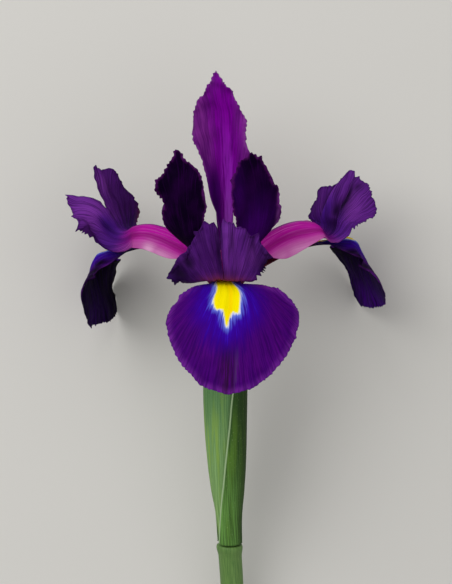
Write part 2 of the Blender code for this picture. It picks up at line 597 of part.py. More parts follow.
def make_column():
    """The style column, which widens into a small head under the three arms."""
    rings = [(GAP, COLUMN_RADIUS), (4.5, COLUMN_RADIUS), (6.2, COLUMN_TOP_RADIUS),
             (COLUMN_HEIGHT, COLUMN_TOP_RADIUS)]
    return rings_solid("style_column", [round_ring(up, radius, 12) for up, radius in rings], "style")


def make_bract(name, margins, inset):
    """A green bract wrapped round the stem. inset is how much smaller its radius is."""
    columns, rows = 17, 19
    tip = margins[0][-1][0]
    up = BRACT_BASE + (tip - BRACT_BASE) * np.linspace(0, 1, rows)
    sides = [profile(margin, up) for margin in margins]
    sides[1][-1] = sides[0][-1]
    share = np.linspace(0, 1, columns)
    turn = sides[0][:, None] + (sides[1] - sides[0])[:, None] * share
    sheet = Sheet()
    sheet.add(np.stack([turn, np.repeat(up[:, None], columns, axis=1)], axis=-1))
    turn, up = np.array(sheet.points).T
    radius = profile(BRACT_RADII, up)
    flat = profile(BRACT_FLATNESS, up)
    turn = np.radians(turn)
    x = stem_x(up) + (radius - inset) * np.sin(turn)
    front = (radius * flat - inset) * np.cos(turn)
    return add_object(name, np.stack([x, front, up], axis=-1), sheet.faces, "bract", BRACT_THICK)


def make_stamen(name, azimuth):
    """A stamen: a thin thread from the tube's rim, and a long anther in the tunnel under the arm."""
    turn = math.radians(azimuth)
    radii = np.array(STAMEN)
    steps = np.gradient(radii[:, :2], axis=0)
    steps /= np.linalg.norm(steps, axis=1, keepdims=True)
    rings = []
    for (r, up, wide, deep), (dr, du) in zip(radii, steps):
        ring = []
        for corner in np.arange(8, 0, -1) * 2 * math.pi / 8:
            side, inward = wide * math.sin(corner), deep * math.cos(corner)
            out = r - du * inward
            x = out * math.sin(turn) + side * math.cos(turn)
            ring.append((x, out * math.cos(turn) - side * math.sin(turn), up + dr * inward))
        rings.append(ring)
    return rings_solid(name, rings, "stamen")


def main():
    for obj in list(bpy.data.objects):
        bpy.data.objects.remove(obj, do_unlink=True)
    for name, shape in FALL_SHAPES.items():
        make_fall(name, shape)
    for name, shape in STANDARD_SHAPES.items():
        make_standard(name, shape)
    for name, shape in ARM_SHAPES.items():
        make_arm(name, shape)
    make_stem()
    make_ovary()
    make_column()
    make_bract("spathe_outer", OUTER_MARGINS, 0.0)
    make_bract("spathe_inner", INNER_MARGINS, BRACT_THICK + 0.4)
    for name, azimuth in STAMEN_TURNS.items():
        make_stamen(name, azimuth)


main()
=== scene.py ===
# The looks of a cut iris flower that lies on its back: petals with frilled and toothed margins,
# veined faces, green spathe bracts and a short stem. Lengths are millimetres until layDown.
import math

import bpy
import numpy as np
from mathutils import Matrix, Vector


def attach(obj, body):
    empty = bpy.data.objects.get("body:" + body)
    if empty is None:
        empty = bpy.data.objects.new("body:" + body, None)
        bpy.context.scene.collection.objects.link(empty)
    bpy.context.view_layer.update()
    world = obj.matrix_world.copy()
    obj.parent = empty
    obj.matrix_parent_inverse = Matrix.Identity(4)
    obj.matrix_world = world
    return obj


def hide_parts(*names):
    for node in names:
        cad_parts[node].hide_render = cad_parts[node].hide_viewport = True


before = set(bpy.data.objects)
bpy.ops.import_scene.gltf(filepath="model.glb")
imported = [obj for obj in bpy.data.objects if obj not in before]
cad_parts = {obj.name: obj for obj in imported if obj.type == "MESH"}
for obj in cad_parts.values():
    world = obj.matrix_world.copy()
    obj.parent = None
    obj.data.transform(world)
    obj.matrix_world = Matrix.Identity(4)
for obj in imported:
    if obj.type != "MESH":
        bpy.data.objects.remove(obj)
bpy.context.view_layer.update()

mm = 0.001
print("frame loaded:", len(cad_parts), "nodes")

# The flower's own frame is x to its right, front, and up along its axis from the petals' feet.
lying = {"lean": 15.725, "roll": -0.555, "centre": (-0.087, 24.027, 35.418)}


def turned(vectors):
    # directions of the flower's own frame, as it lies
    x, front, up = np.asarray(vectors, float).T
    lean, roll = math.radians(lying["lean"]), math.radians(lying["roll"])
    y = up * math.cos(lean) - front * math.sin(lean)
    z = front * math.cos(lean) + up * math.sin(lean)
    return np.stack([x * math.cos(roll) + z * math.sin(roll), y,
                     z * math.cos(roll) - x * math.sin(roll)], axis=-1)


def layDown(points):
    return (turned(points) + lying["centre"]) * mm


# Curves, outlines and grids.


def hermite(a, b, slopeA, slopeB, step, x):
    # the smooth curve from a to b over one step, read at x from 0 to 1
    return (a * (2 * x**3 - 3 * x**2 + 1) + b * (3 * x**2 - 2 * x**3)
            + slopeA * step * (x**3 - 2 * x**2 + x) + slopeB * step * (x**3 - x**2))


def throughPoints(points, shares):
    # a smooth curve through the points, read at shares 0 to 1 of its length
    points = np.asarray(points, float)
    steps = np.linalg.norm(np.diff(points, axis=0), axis=1)
    knots = np.concatenate([[0], np.cumsum(steps)])
    grads = np.diff(points, axis=0) / steps[:, None]
    inner = grads[:-1] * steps[1:, None] + grads[1:] * steps[:-1, None]
    inner /= (steps[:-1] + steps[1:])[:, None]
    slopes = np.concatenate([grads[:1], inner, grads[-1:]])
    t = np.clip(np.asarray(shares, float), 0, 1) * knots[-1]
    i = np.clip(np.searchsorted(knots, t, side="right") - 1, 0, len(knots) - 2)
    step = (knots[i + 1] - knots[i])[:, None]
    x = (t - knots[i])[:, None] / step
    return hermite(points[i], points[i + 1], slopes[i], slopes[i + 1], step, x)


def alongPairs(pairs, q):
    # a value given as (q, value) pairs, which changes smoothly between them
    q = np.asarray(q, float)
    if np.isscalar(pairs):
        return np.full(q.shape, float(pairs))
    at, value = np.array(pairs, float).T
    grads = np.diff(value) / np.diff(at)
    inner = np.where(grads[:-1] * grads[1:] <= 0, 0.0, (grads[:-1] + grads[1:]) / 2)
    slopes = np.concatenate([grads[:1], inner, [0.0]])
    i = np.clip(np.searchsorted(at, q, side="right") - 1, 0, len(at) - 2)
    step = at[i + 1] - at[i]
    x = np.clip((q - at[i]) / step, 0, 1)
    return hermite(value[i], value[i + 1], slopes[i], slopes[i + 1], step, x)


def smoothStep(low, high, value):
    x = np.clip((np.asarray(value, float) - low) / (high - low), 0, 1)
    return x * x * (3 - 2 * x)


def ripple(p, q, wavelength, seed, count=14):
    # an uneven field of hills and hollows about one wavelength apart, between about -1 and 1
    chance = np.random.default_rng(seed)
    field = np.zeros(np.shape(p))
    waves = chance.uniform([[0], [0.7], [0]], [[np.pi], [1.5], [2 * np.pi]], (3, count))
    for heading, stretch, phase in zip(*waves):
        turn = 2 * np.pi / (wavelength * stretch)
        field += np.sin(turn * (p * np.cos(heading) + q * np.sin(heading)) + phase)
    return field * math.sqrt(2 / count) / 1.6


def teeth(lengths, cut):
    # small teeth along a margin, each with its own width and height
    chance = np.random.default_rng(cut["seed"])
    widths = cut["spacing"] * chance.uniform(0.55, 1.6, 600)
    heights = chance.uniform(0.25, 1.0, 600)
    starts = np.concatenate([[0], np.cumsum(widths)])
    i = np.searchsorted(starts, lengths, side="right") - 1
    x = (lengths - starts[i]) / widths[i]
    return cut["height"] * heights[i] * (1 - np.abs(2 * x - 1)) ** cut["sharpness"]


def toothedEdge(outline, shares, cuts, side, calm):
    # one half of a margin, and how far its teeth move it; side is 1 for the right half and -1 for the
    # left one, and the first part of the margin, calm, has no teeth
    outline = np.asarray(outline, float)
    points = throughPoints(outline, shares)
    length = np.linalg.norm(np.diff(throughPoints(outline, np.linspace(0, 1, 500)), axis=0), axis=1).sum()
    ahead = throughPoints(outline, shares + 0.004) - throughPoints(outline, shares - 0.004)
    outward = np.stack([ahead[:, 1], -ahead[:, 0]], axis=-1)
    outward /= np.linalg.norm(outward, axis=1, keepdims=True)
    out = sum(teeth(shares * length, {**cut, "seed": cut["seed"] + (side > 0)}) - 0.4 * cut["height"]
              for cut in cuts)
    out = out * smoothStep(0.5 * calm, 1.5 * calm, shares) * (1 - smoothStep(0.975, 1, shares))
    turn = np.array([side, 1])
    return points * turn, outward * out[:, None] * turn


def patch(bottom, top, left, right):
    # fills a four-sided outline with a grid
    s = np.linspace(0, 1, len(bottom))[None, :, None]
    t = np.linspace(0, 1, len(left))[:, None, None]
    ruled = (1 - t) * bottom[None] + t * top[None] + (1 - s) * left[:, None] + s * right[:, None]
    return ruled - (1 - t) * ((1 - s) * bottom[0] + s * bottom[-1]) - t * ((1 - s) * top[0] + s * top[-1])


def toothedPatch(bottom, top, left, right, topTeeth, leftTeeth, rightTeeth):
    # a grid whose teeth reach about a millimetre inwards
    grid = patch(bottom, top, left, right)
    s, t = np.linspace(0, 1, len(bottom))[None], np.linspace(0, 1, len(left))[:, None]
    wide, tall = np.linalg.norm(right - left, axis=1)[:, None], np.linalg.norm(top - bottom, axis=1)[None]
    nearLeft, nearRight, nearTop = (np.exp(-((gap / 0.9) ** 2))[..., None]
                                    for gap in (s * wide, (1 - s) * wide, (1 - t) * tall))
    sides = nearLeft * leftTeeth[:, None] + nearRight * rightTeeth[:, None]
    return grid + (1 - nearTop) * sides + nearTop * topTeeth[None]


def stripGrid(widths, length, columns, rows):
    q = np.linspace(0, length, rows)
    p = alongPairs(widths, q)[:, None] * np.linspace(-1, 1, columns)[None]
    return np.stack([p, np.repeat(q[:, None], columns, axis=1)], axis=-1)


def bladeGrid(halves, start, columns, rows, corner, cuts, calm):
    # a blade from the outlines of its left and right halves, which share their last place
    sides = []
    for side, half in zip((-1, 1), halves):
        sides.append(toothedEdge(half, np.linspace(corner, 1, columns // 2 + 1), cuts, side, calm))
        sides.append(toothedEdge(half, np.linspace(0, corner, rows), cuts, side, calm))
    (leftRim, leftRimTeeth), (left, leftTeeth), (rightRim, rightRimTeeth), (right, rightTeeth) = sides
    top = np.vstack([leftRim, rightRim[::-1][1:]])
    topTeeth = np.vstack([leftRimTeeth, rightRimTeeth[::-1][1:]])
    bottom = np.linspace(left[0], right[0], len(top))
    return toothedPatch(bottom, top, left, right, topTeeth, leftTeeth, rightTeeth) + np.array([0.0, start])


def lobeGrid(outer, inner, start, side, columns, rows, cuts, corner=0.5, calm=0.08):
    outerRim, rimTeeth = toothedEdge(outer, np.linspace(corner, 1, columns // 2 + 1), cuts, 1, calm)
    outerSide, sideTeeth = toothedEdge(outer, np.linspace(0, corner, rows), cuts, 1, calm)
    innerRim = throughPoints(inner, np.linspace(corner, 1, columns // 2 + 1))
    top = np.vstack([outerRim, innerRim[::-1][1:]])
    topTeeth = np.vstack([rimTeeth, 0 * rimTeeth[1:]])
    bottom = np.linspace(outer[0], inner[0], len(top))
    innerSide = throughPoints(inner, np.linspace(0, corner, rows))
    grid = toothedPatch(bottom, top, outerSide, innerSide, topTeeth, sideTeeth, 0 * sideTeeth)
    grid = grid * np.array([-1, 1]) if side < 0 else grid[:, ::-1]
    return grid + np.array([0.0, start])


def rimOf(grid):
    # how close each place is to the free margin: 0 inside, 1 on it
    v = np.abs(np.linspace(-1, 1, grid.shape[1]))[None]
    u = np.linspace(0, 1, grid.shape[0])[:, None]
    return np.maximum(u * v**2, u**3)


def joined(grids, rims):
    # one flat cut-out from grids that share their borders, as points, rim weights and triangles
    points = np.concatenate([grid.reshape(-1, 2) for grid in grids])
    weights = np.concatenate([rim.reshape(-1) for rim in rims])
    triangles, first = [], 0
    for grid in grids:
        rows, columns = grid.shape[:2]
        ids = first + np.arange(rows * columns).reshape(rows, columns)
        a, b, c, d = ids[:-1, :-1], ids[:-1, 1:], ids[1:, 1:], ids[1:, :-1]
        odd = ((np.arange(rows - 1)[:, None] + np.arange(columns - 1)[None]) % 2).astype(bool)[..., None]
        triangles += [np.where(odd, np.stack([a, b, c], -1), np.stack([a, b, d], -1)).reshape(-1, 3),
                      np.where(odd, np.stack([a, c, d], -1), np.stack([b, c, d], -1)).reshape(-1, 3)]
        first += rows * columns
    _, chosen, back = np.unique(np.round(points, 4), axis=0, return_index=True, return_inverse=True)
    triangles = back.reshape(-1)[np.concatenate(triangles)]
    whole = ((triangles[:, 0] != triangles[:, 1]) & (triangles[:, 1] != triangles[:, 2])
             & (triangles[:, 2] != triangles[:, 0]))
    return points[chosen], weights[chosen], triangles[whole]


def freeEdges(triangles):
    # the directed edges that only one triangle has
    edges = np.concatenate([triangles[:, [0, 1]], triangles[:, [1, 2]], triangles[:, [2, 0]]])
    keys = edges[:, 0].astype(np.int64) * 10**7 + edges[:, 1]
    return edges[~np.isin(keys, edges[:, 1].astype(np.int64) * 10**7 + edges[:, 0])]


def nearest(places, targets):
    # how far each place is from the nearest target, a few places at a time to spare memory
    parts = np.array_split(places, max(1, len(places) // 2000))
    gaps = [np.sqrt(((part[:, None] - targets[None]) ** 2).sum(-1)).min(1) for part in parts]
    return np.concatenate(gaps)


def marginDistance(points, triangles, footLine):
    # how far each place of a cut-out is from its margin, the foot apart
    margin = points[np.unique(freeEdges(triangles))]
    return nearest(points, margin[margin[:, 1] > footLine])


def outlineDistance(p, q, outline):
    # distance from a closed outline on the cut-out, negative inside it
    corners = throughPoints(list(outline) + [outline[0]], np.linspace(0, 1, 160))[:-1]
    inside = np.zeros(len(p), bool)
    for (x0, y0), (x1, y1) in zip(corners, np.roll(corners, -1, axis=0)):
        crosses = (y0 > q) != (y1 > q)
        inside ^= crosses & (p < (x1 - x0) * (q - y0) / np.where(crosses, y1 - y0, 1) + x0)
    near = nearest(np.stack([p, q], axis=-1), corners)
    return np.where(inside, -near, near)


# Bending a cut-out along its midrib.


def makeSpine(points, extra=30.0):
    path = throughPoints(points, np.linspace(0, 1, 600))
    end = path[-1] - path[-2]
    path = np.vstack([path, path[-1] + end / np.linalg.norm(end) * extra])
    q = np.concatenate([[0], np.cumsum(np.linalg.norm(np.diff(path, axis=0), axis=1))])
    return {"path": path, "q": q, "slope": np.gradient(path, q, axis=0)}


def spineLength(spine, point):
    return spine["q"][np.argmin(np.linalg.norm(spine["path"] - np.asarray(point), axis=1))]


def onSpine(spine, q):
    place = np.stack([np.interp(q, spine["q"], spine["path"][:, k]) for k in (0, 1)], axis=-1)
    heading = np.stack([np.interp(q, spine["q"], spine["slope"][:, k]) for k in (0, 1)], axis=-1)
    return place, heading / np.linalg.norm(heading, axis=-1, keepdims=True)


def around(azimuth, out, side, up):
    # places out from the axis and to one side of a petal that stands azimuth degrees from the front
    turn = math.radians(azimuth)
    return np.stack([out * math.sin(turn) + side * math.cos(turn),
                     out * math.cos(turn) - side * math.sin(turn), up], -1)


def bend(p, q, rims, shape, spines, waveRoot, lift):
    # the petal's middle surface in the flower's frame; lift is extra height towards its inner face
    share = np.where(q > shape.get("slitStart", math.inf), (p > 0).astype(float), smoothStep(-1, 1, p))
    fold, curl = (alongPairs(shape[key][0], q) * (1 - share) + alongPairs(shape[key][1], q) * share
                  for key in ("fold", "curl"))
    parts = 16  # places across, from the midrib to p, that the bend is summed over
    s = p[:, None] * (np.arange(parts) + 0.5) / parts
    angle = np.radians(fold)[:, None] * np.tanh(s / 1.5) + curl[:, None] * s
    side, inward = p * np.cos(angle).mean(-1), p * np.sin(angle).mean(-1)
    turn = np.arctan2(p, q - waveRoot)
    for count, height, phase in shape["waves"]:
        inward = inward + height * rims**1.5 * np.sin(count * turn + phase)
    inward = inward + lift - alongPairs(shape.get("valley", 0.0), q) * np.exp(-((p / 2.2) ** 2))
    twist = np.radians(alongPairs(shape.get("twist", 0.0), q))
    side, inward = (side * np.cos(twist) - inward * np.sin(twist),
                    side * np.sin(twist) + inward * np.cos(twist))
    side = side + alongPairs(shape.get("sway", 0.0), q)
    share = share[:, None]
    (leftPlace, leftWay), (rightPlace, rightWay) = (onSpine(spine, q) for spine in spines)
    place = leftPlace * (1 - share) + rightPlace * share
    way = leftWay * (1 - share) + rightWay * share
    way /= np.linalg.norm(way, axis=1, keepdims=True)
    out, up = place[:, 0] - way[:, 1] * inward, place[:, 1] + way[:, 0] * inward
    return around(shape["azimuth"], out, side, up)


def cornerNormals(points, triangles):
    a, b, c = (points[triangles[:, k]] for k in range(3))
    flat = np.cross(b - a, c - a)
    normals = np.zeros_like(points)
    for k in range(3):
        np.add.at(normals, triangles[:, k], flat)
    return normals / np.linalg.norm(normals, axis=1, keepdims=True)


# Meshes and pieces.


def addPiece(name, points, faces, facts, finish, nodeName):
    # a smooth mesh object from places in the flower's frame; facts are numbers kept for its material
    mesh = bpy.data.meshes.new(name)
    mesh.from_pydata(layDown(points).tolist(), [], [list(map(int, face)) for face in faces])
    mesh.update()
    for fact, numbers in facts.items():
        values = mesh.attributes.new(fact, "FLOAT", "POINT").data
        values.foreach_set("value", np.asarray(numbers, np.float32))
    mesh.materials.append(finish)
    mesh.shade_smooth()
    piece = bpy.data.objects.new(name, mesh)
    bpy.context.collection.objects.link(piece)
    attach(piece, "root")
    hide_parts(nodeName)
    print(name, "has", len(mesh.polygons), "faces")


def shell(points, triangles, inner, outer):
    # closes a sheet into a thin solid whose faces lie inner and outer away from it
    normals = cornerNormals(points, triangles)
    count = len(points)
    a, b = freeEdges(triangles).T
    wall = np.concatenate([np.stack([b, a, a + count], -1), np.stack([b, a + count, b + count], -1)])
    solid = np.concatenate([points + normals * inner[:, None], points - normals * outer[:, None]])
    return solid, np.concatenate([triangles, triangles[:, ::-1] + count, wall])


def veinCoordinates(p, q, root, easing=4.0, softness=3.0):
    # veins run side by side up the claw and fan out from root: fan tells them apart, reach runs along them
    past = 0.5 * (q - root + np.sqrt((q - root) ** 2 + softness**2))
    return np.arctan2(p, easing + past), np.hypot(p, easing + past)


def twice(facts):
    # a shell has each place two times, on its inner face and on its outer one
    return {name: np.concatenate([numbers, numbers]) for name, numbers in facts.items()}


def hills(p, along, places):
    # one soft hill for each place, given as (p, along, half width, half length, height)
    return [high * np.exp(-((p - p0) / wide) ** 2 - ((along - along0) / long) ** 2)
            for p0, along0, wide, long, high in places]


def spots(p, along, places):
    # how strongly a tint shows: where its hills overlap, the highest one counts
    return np.max([np.zeros(len(p)), *hills(p, along, places)], axis=0)


tissue = {"innerShare": 0.3, "least": 0.05, "marginWidth": 4.5, "keelWidth": 1.2, "footGap": 0.5}


def petal(name, shape, finish, grids, rims, spines, start, looks):
    flat, rim, triangles = joined(grids, rims)
    p, q = flat.T
    waveRoot, seed = start - looks["waveBack"], looks["seed"]
    edge = marginDistance(flat, triangles, tissue["footGap"])
    fan, reach = veinCoordinates(p, q, start - looks["veinBack"])
    free = smoothStep(waveRoot - 2, waveRoot + 8, q)
    pleats = np.sin(fan * looks["pleats"] + 1.5 * ripple(p, q, 14, 5))
    groove = np.exp(-((p / looks["grooveWidth"]) ** 2)) * (1 - smoothStep(-6, 3, 6 - edge))
    lift = looks["crumple"] * free * ripple(p, q, looks["crumpleSize"], seed)
    lift += looks["frill"] * rim**2 * ripple(p, q, looks["frillSize"], seed + 1)
    lift += looks["pleat"] * free * smoothStep(0, 2, edge) * pleats
    lift += looks["groove"] * groove
    lift += sum(hills(p, q - waveRoot, shape.get("bumps", [])))
    points = bend(p, q, rim, shape, spines, waveRoot, lift)
    keel = np.exp(-((p / tissue["keelWidth"]) ** 2)) * (1 - smoothStep(waveRoot - 6, waveRoot + 10, q))
    full = smoothStep(0, tissue["marginWidth"], edge)
    thick = looks["margin"] + (looks["thick"] - looks["margin"]) * full + looks["keel"] * keel
    inner = looks["thick"] * tissue["innerShare"]
    points, faces = shell(points, triangles, np.full(len(p), inner), thick - inner + tissue["least"])
    facts = {"across": p, "along": q, "crest": q - start, "fan": fan, "reach": reach, "edge": edge}
    if "signal" in shape:
        facts["signal"] = outlineDistance(p, q, shape["signal"])
    for tint in looks["tints"]:
        facts[tint] = spots(p, facts[looks["tintsAlong"]], shape["tints"].get(tint, []))
    facts = twice(facts)
    facts["face"] = np.repeat([1.0, 0.0], len(p))
    addPiece(name + "_petal", points, faces, facts, finish, name)


def bladedPetal(name, shape, finish, looks):
    # a petal whose narrow strip, its haft or claw, widens into one blade
    spine = makeSpine(shape["spine"])
    start = spineLength(spine, shape["haftEnd"]) if "haftEnd" in shape else shape["strip"][-1][0]
    columns, rows = shape["columns"], shape["rows"]
    blade = bladeGrid(shape["blade"], start, columns, rows, looks["corner"], shape["cuts"], shape["calm"])
    strip = stripGrid(shape["strip"], start, columns + 1, rows // 2)
    strip[-1] = blade[0]
    rims = [np.zeros(strip.shape[:2]), rimOf(blade)]
    petal(name, shape, finish, [strip, blade], rims, (spine, spine), start, looks)


# Material helpers. They add to the material that newMaterial made last, which is kept here.

making = {}


def shade(red, green, blue):
    # a colour as a screen shows it, 0 to 255, in the values that Blender mixes
    parts = [c / 255 for c in (red, green, blue)]
    return tuple(c / 12.92 if c <= 0.04045 else ((c + 0.055) / 1.055) ** 2.4 for c in parts) + (1.0,)


def newMaterial(name, roughness, specular):
    material = bpy.data.materials.new(name)
    material.use_nodes = True
    shader = material.node_tree.nodes["Principled BSDF"]
    shader.inputs["Roughness"].default_value = roughness
    shader.inputs["Specular IOR Level"].default_value = specular
    making.update(material=material, tree=material.node_tree, shader=shader)
    return material


def feed(socket, value):
    if isinstance(value, bpy.types.NodeSocket):
        making["tree"].links.new(value, socket)
    else:
        socket.default_value = value


def addNode(kind, *values):
    # a new node; the values go to its first inputs, as numbers or as links
    node = making["tree"].nodes.new(kind)
    for socket, value in zip(node.inputs, values):
        feed(socket, value)
    return node


def fact(name):
    node = addNode("ShaderNodeAttribute")
    node.attribute_name = name
    return node.outputs["Fac"]


def maths(operation, *values):
    node = addNode("ShaderNodeMath", *values)
    node.operation = operation
    return node.outputs[0]


def times(first, second):
    return maths("MULTIPLY", first, second)


def plus(first, second):
    return maths("ADD", first, second)


def minus(first, second):
    return maths("SUBTRACT", first, second)


def rise(value, low, high, start=0.0, end=1.0):
    # goes smoothly from start to end as value goes from low to high
    node = addNode("ShaderNodeMapRange", value, low, high, start, end)
    node.interpolation_type = "SMOOTHSTEP"
    return node.outputs[0]


def mixed(share, first, second):
    node = addNode("ShaderNodeMix")
    node.data_type = "RGBA"
    for index, value in ((0, share), (6, first), (7, second)):
        feed(node.inputs[index], value)
    return node.outputs[2]


def layered(colours, ground, *coats):
    # lays coats over a ground colour, each as (share, name of its colour)
    for share, name in coats:
        ground = mixed(share, ground, colours[name])
    return ground


def noise(x, y, z, detail=2.0, rough=0.5):
    # noise between 0 and 1 at a place made of three numbers
    node = addNode("ShaderNodeTexNoise", addNode("ShaderNodeCombineXYZ", x, y, z).outputs[0])
    node.inputs["Scale"].default_value = 1.0
    node.inputs["Detail"].default_value = detail
    node.inputs["Roughness"].default_value = rough
    return node.outputs[0]


def veinPattern(density, stretch, seed):
    # streaks that follow the veins, 0 to 1: broad ones, fine ones and the vein lines themselves
    fan, reach = fact("fan"), fact("reach")
    wobble = noise(times(fan, 4.0), times(reach, 0.09), seed)
    bent = plus(fan, times(minus(wobble, 0.5), 0.05))
    along = times(reach, stretch)
    broad = noise(times(bent, density * 0.25), along, seed + 3)
    fine = noise(times(bent, density), times(along, 0.7), seed + 7, 3.0, 0.65)
    lines = maths("PINGPONG", times(bent, density * 0.6), 0.5)
    lines = times(rise(lines, 0.0, 0.25, 1.0, 0.0), rise(broad, 0.35, 0.6, 0.3, 1.0))
    return broad, fine, lines


def skin(fine, lines):
    # raised streaks between the veins, with a fine grain of cells
    grain = noise(times(fact("across"), 9.0), times(fact("along"), 9.0), 2.0)
    return minus(plus(times(fine, 0.6), times(grain, 0.35)), times(lines, 0.3))


def finished(colour, height, relief, through=0.0):
    # sets the colour and the relief in millimetres; thin tissue also lets a share of the light through
    shader = making["shader"]
    feed(shader.inputs["Base Color"], colour)
    bump = addNode("ShaderNodeBump")
    bump.inputs["Strength"].default_value = 1.0
    bump.inputs["Distance"].default_value = relief * mm
    feed(bump.inputs["Height"], height)
    feed(shader.inputs["Normal"], bump.outputs[0])
    if through:
        glow = addNode("ShaderNodeBsdfTranslucent", colour)
        both = addNode("ShaderNodeMixShader", through, shader.outputs[0], glow.outputs[0])
        feed(making["tree"].nodes["Material Output"].inputs["Surface"], both.outputs[0])
    return making["material"]


# Falls.

fallLooks = {
    "thick": 0.42, "margin": 0.16, "keel": 0.35, "crumple": 0.12, "crumpleSize": 9.0, "frill": 0.22,
    "frillSize": 5.0, "pleat": 0.07, "pleats": 44, "groove": -0.3, "grooveWidth": 1.1, "seed": 21,
    "waveBack": 2, "veinBack": 3, "veins": (58, 0.12, 0), "relief": 0.1, "through": 0.08, "corner": 0.42,
    "tints": ("shadow", "flush"), "tintsAlong": "along", "raggedness": (8.0, 4.5, 2.6, 1.1),
}
fallHaft = [(0, 1.15), (3, 1.5), (8, 2.4), (16, 3.1), (26, 3.3), (32, 4.2)]
fallCuts = [{"spacing": 1.4, "height": 0.5, "sharpness": 0.7, "seed": 4},
            {"spacing": 5.5, "height": 0.5, "sharpness": 0.8, "seed": 9}]
sideCuts = [{"spacing": 1.7, "height": 0.75, "sharpness": 1.1, "seed": 6},
            {"spacing": 5.0, "height": 0.7, "sharpness": 1.0, "seed": 8}]
haftFold = [(0, 0), (8, 14), (22, 10)]
fallFold = haftFold + [(32, 0), (36, -4), (50, 0)]
farCurl = [(0, 0), (28, 0), (38, -0.02), (53, -0.006), (70, 0)]
nearCurl = [(0, 0), (28, 0), (36, -0.02), (42, -0.01), (48, 0.004), (70, 0)]
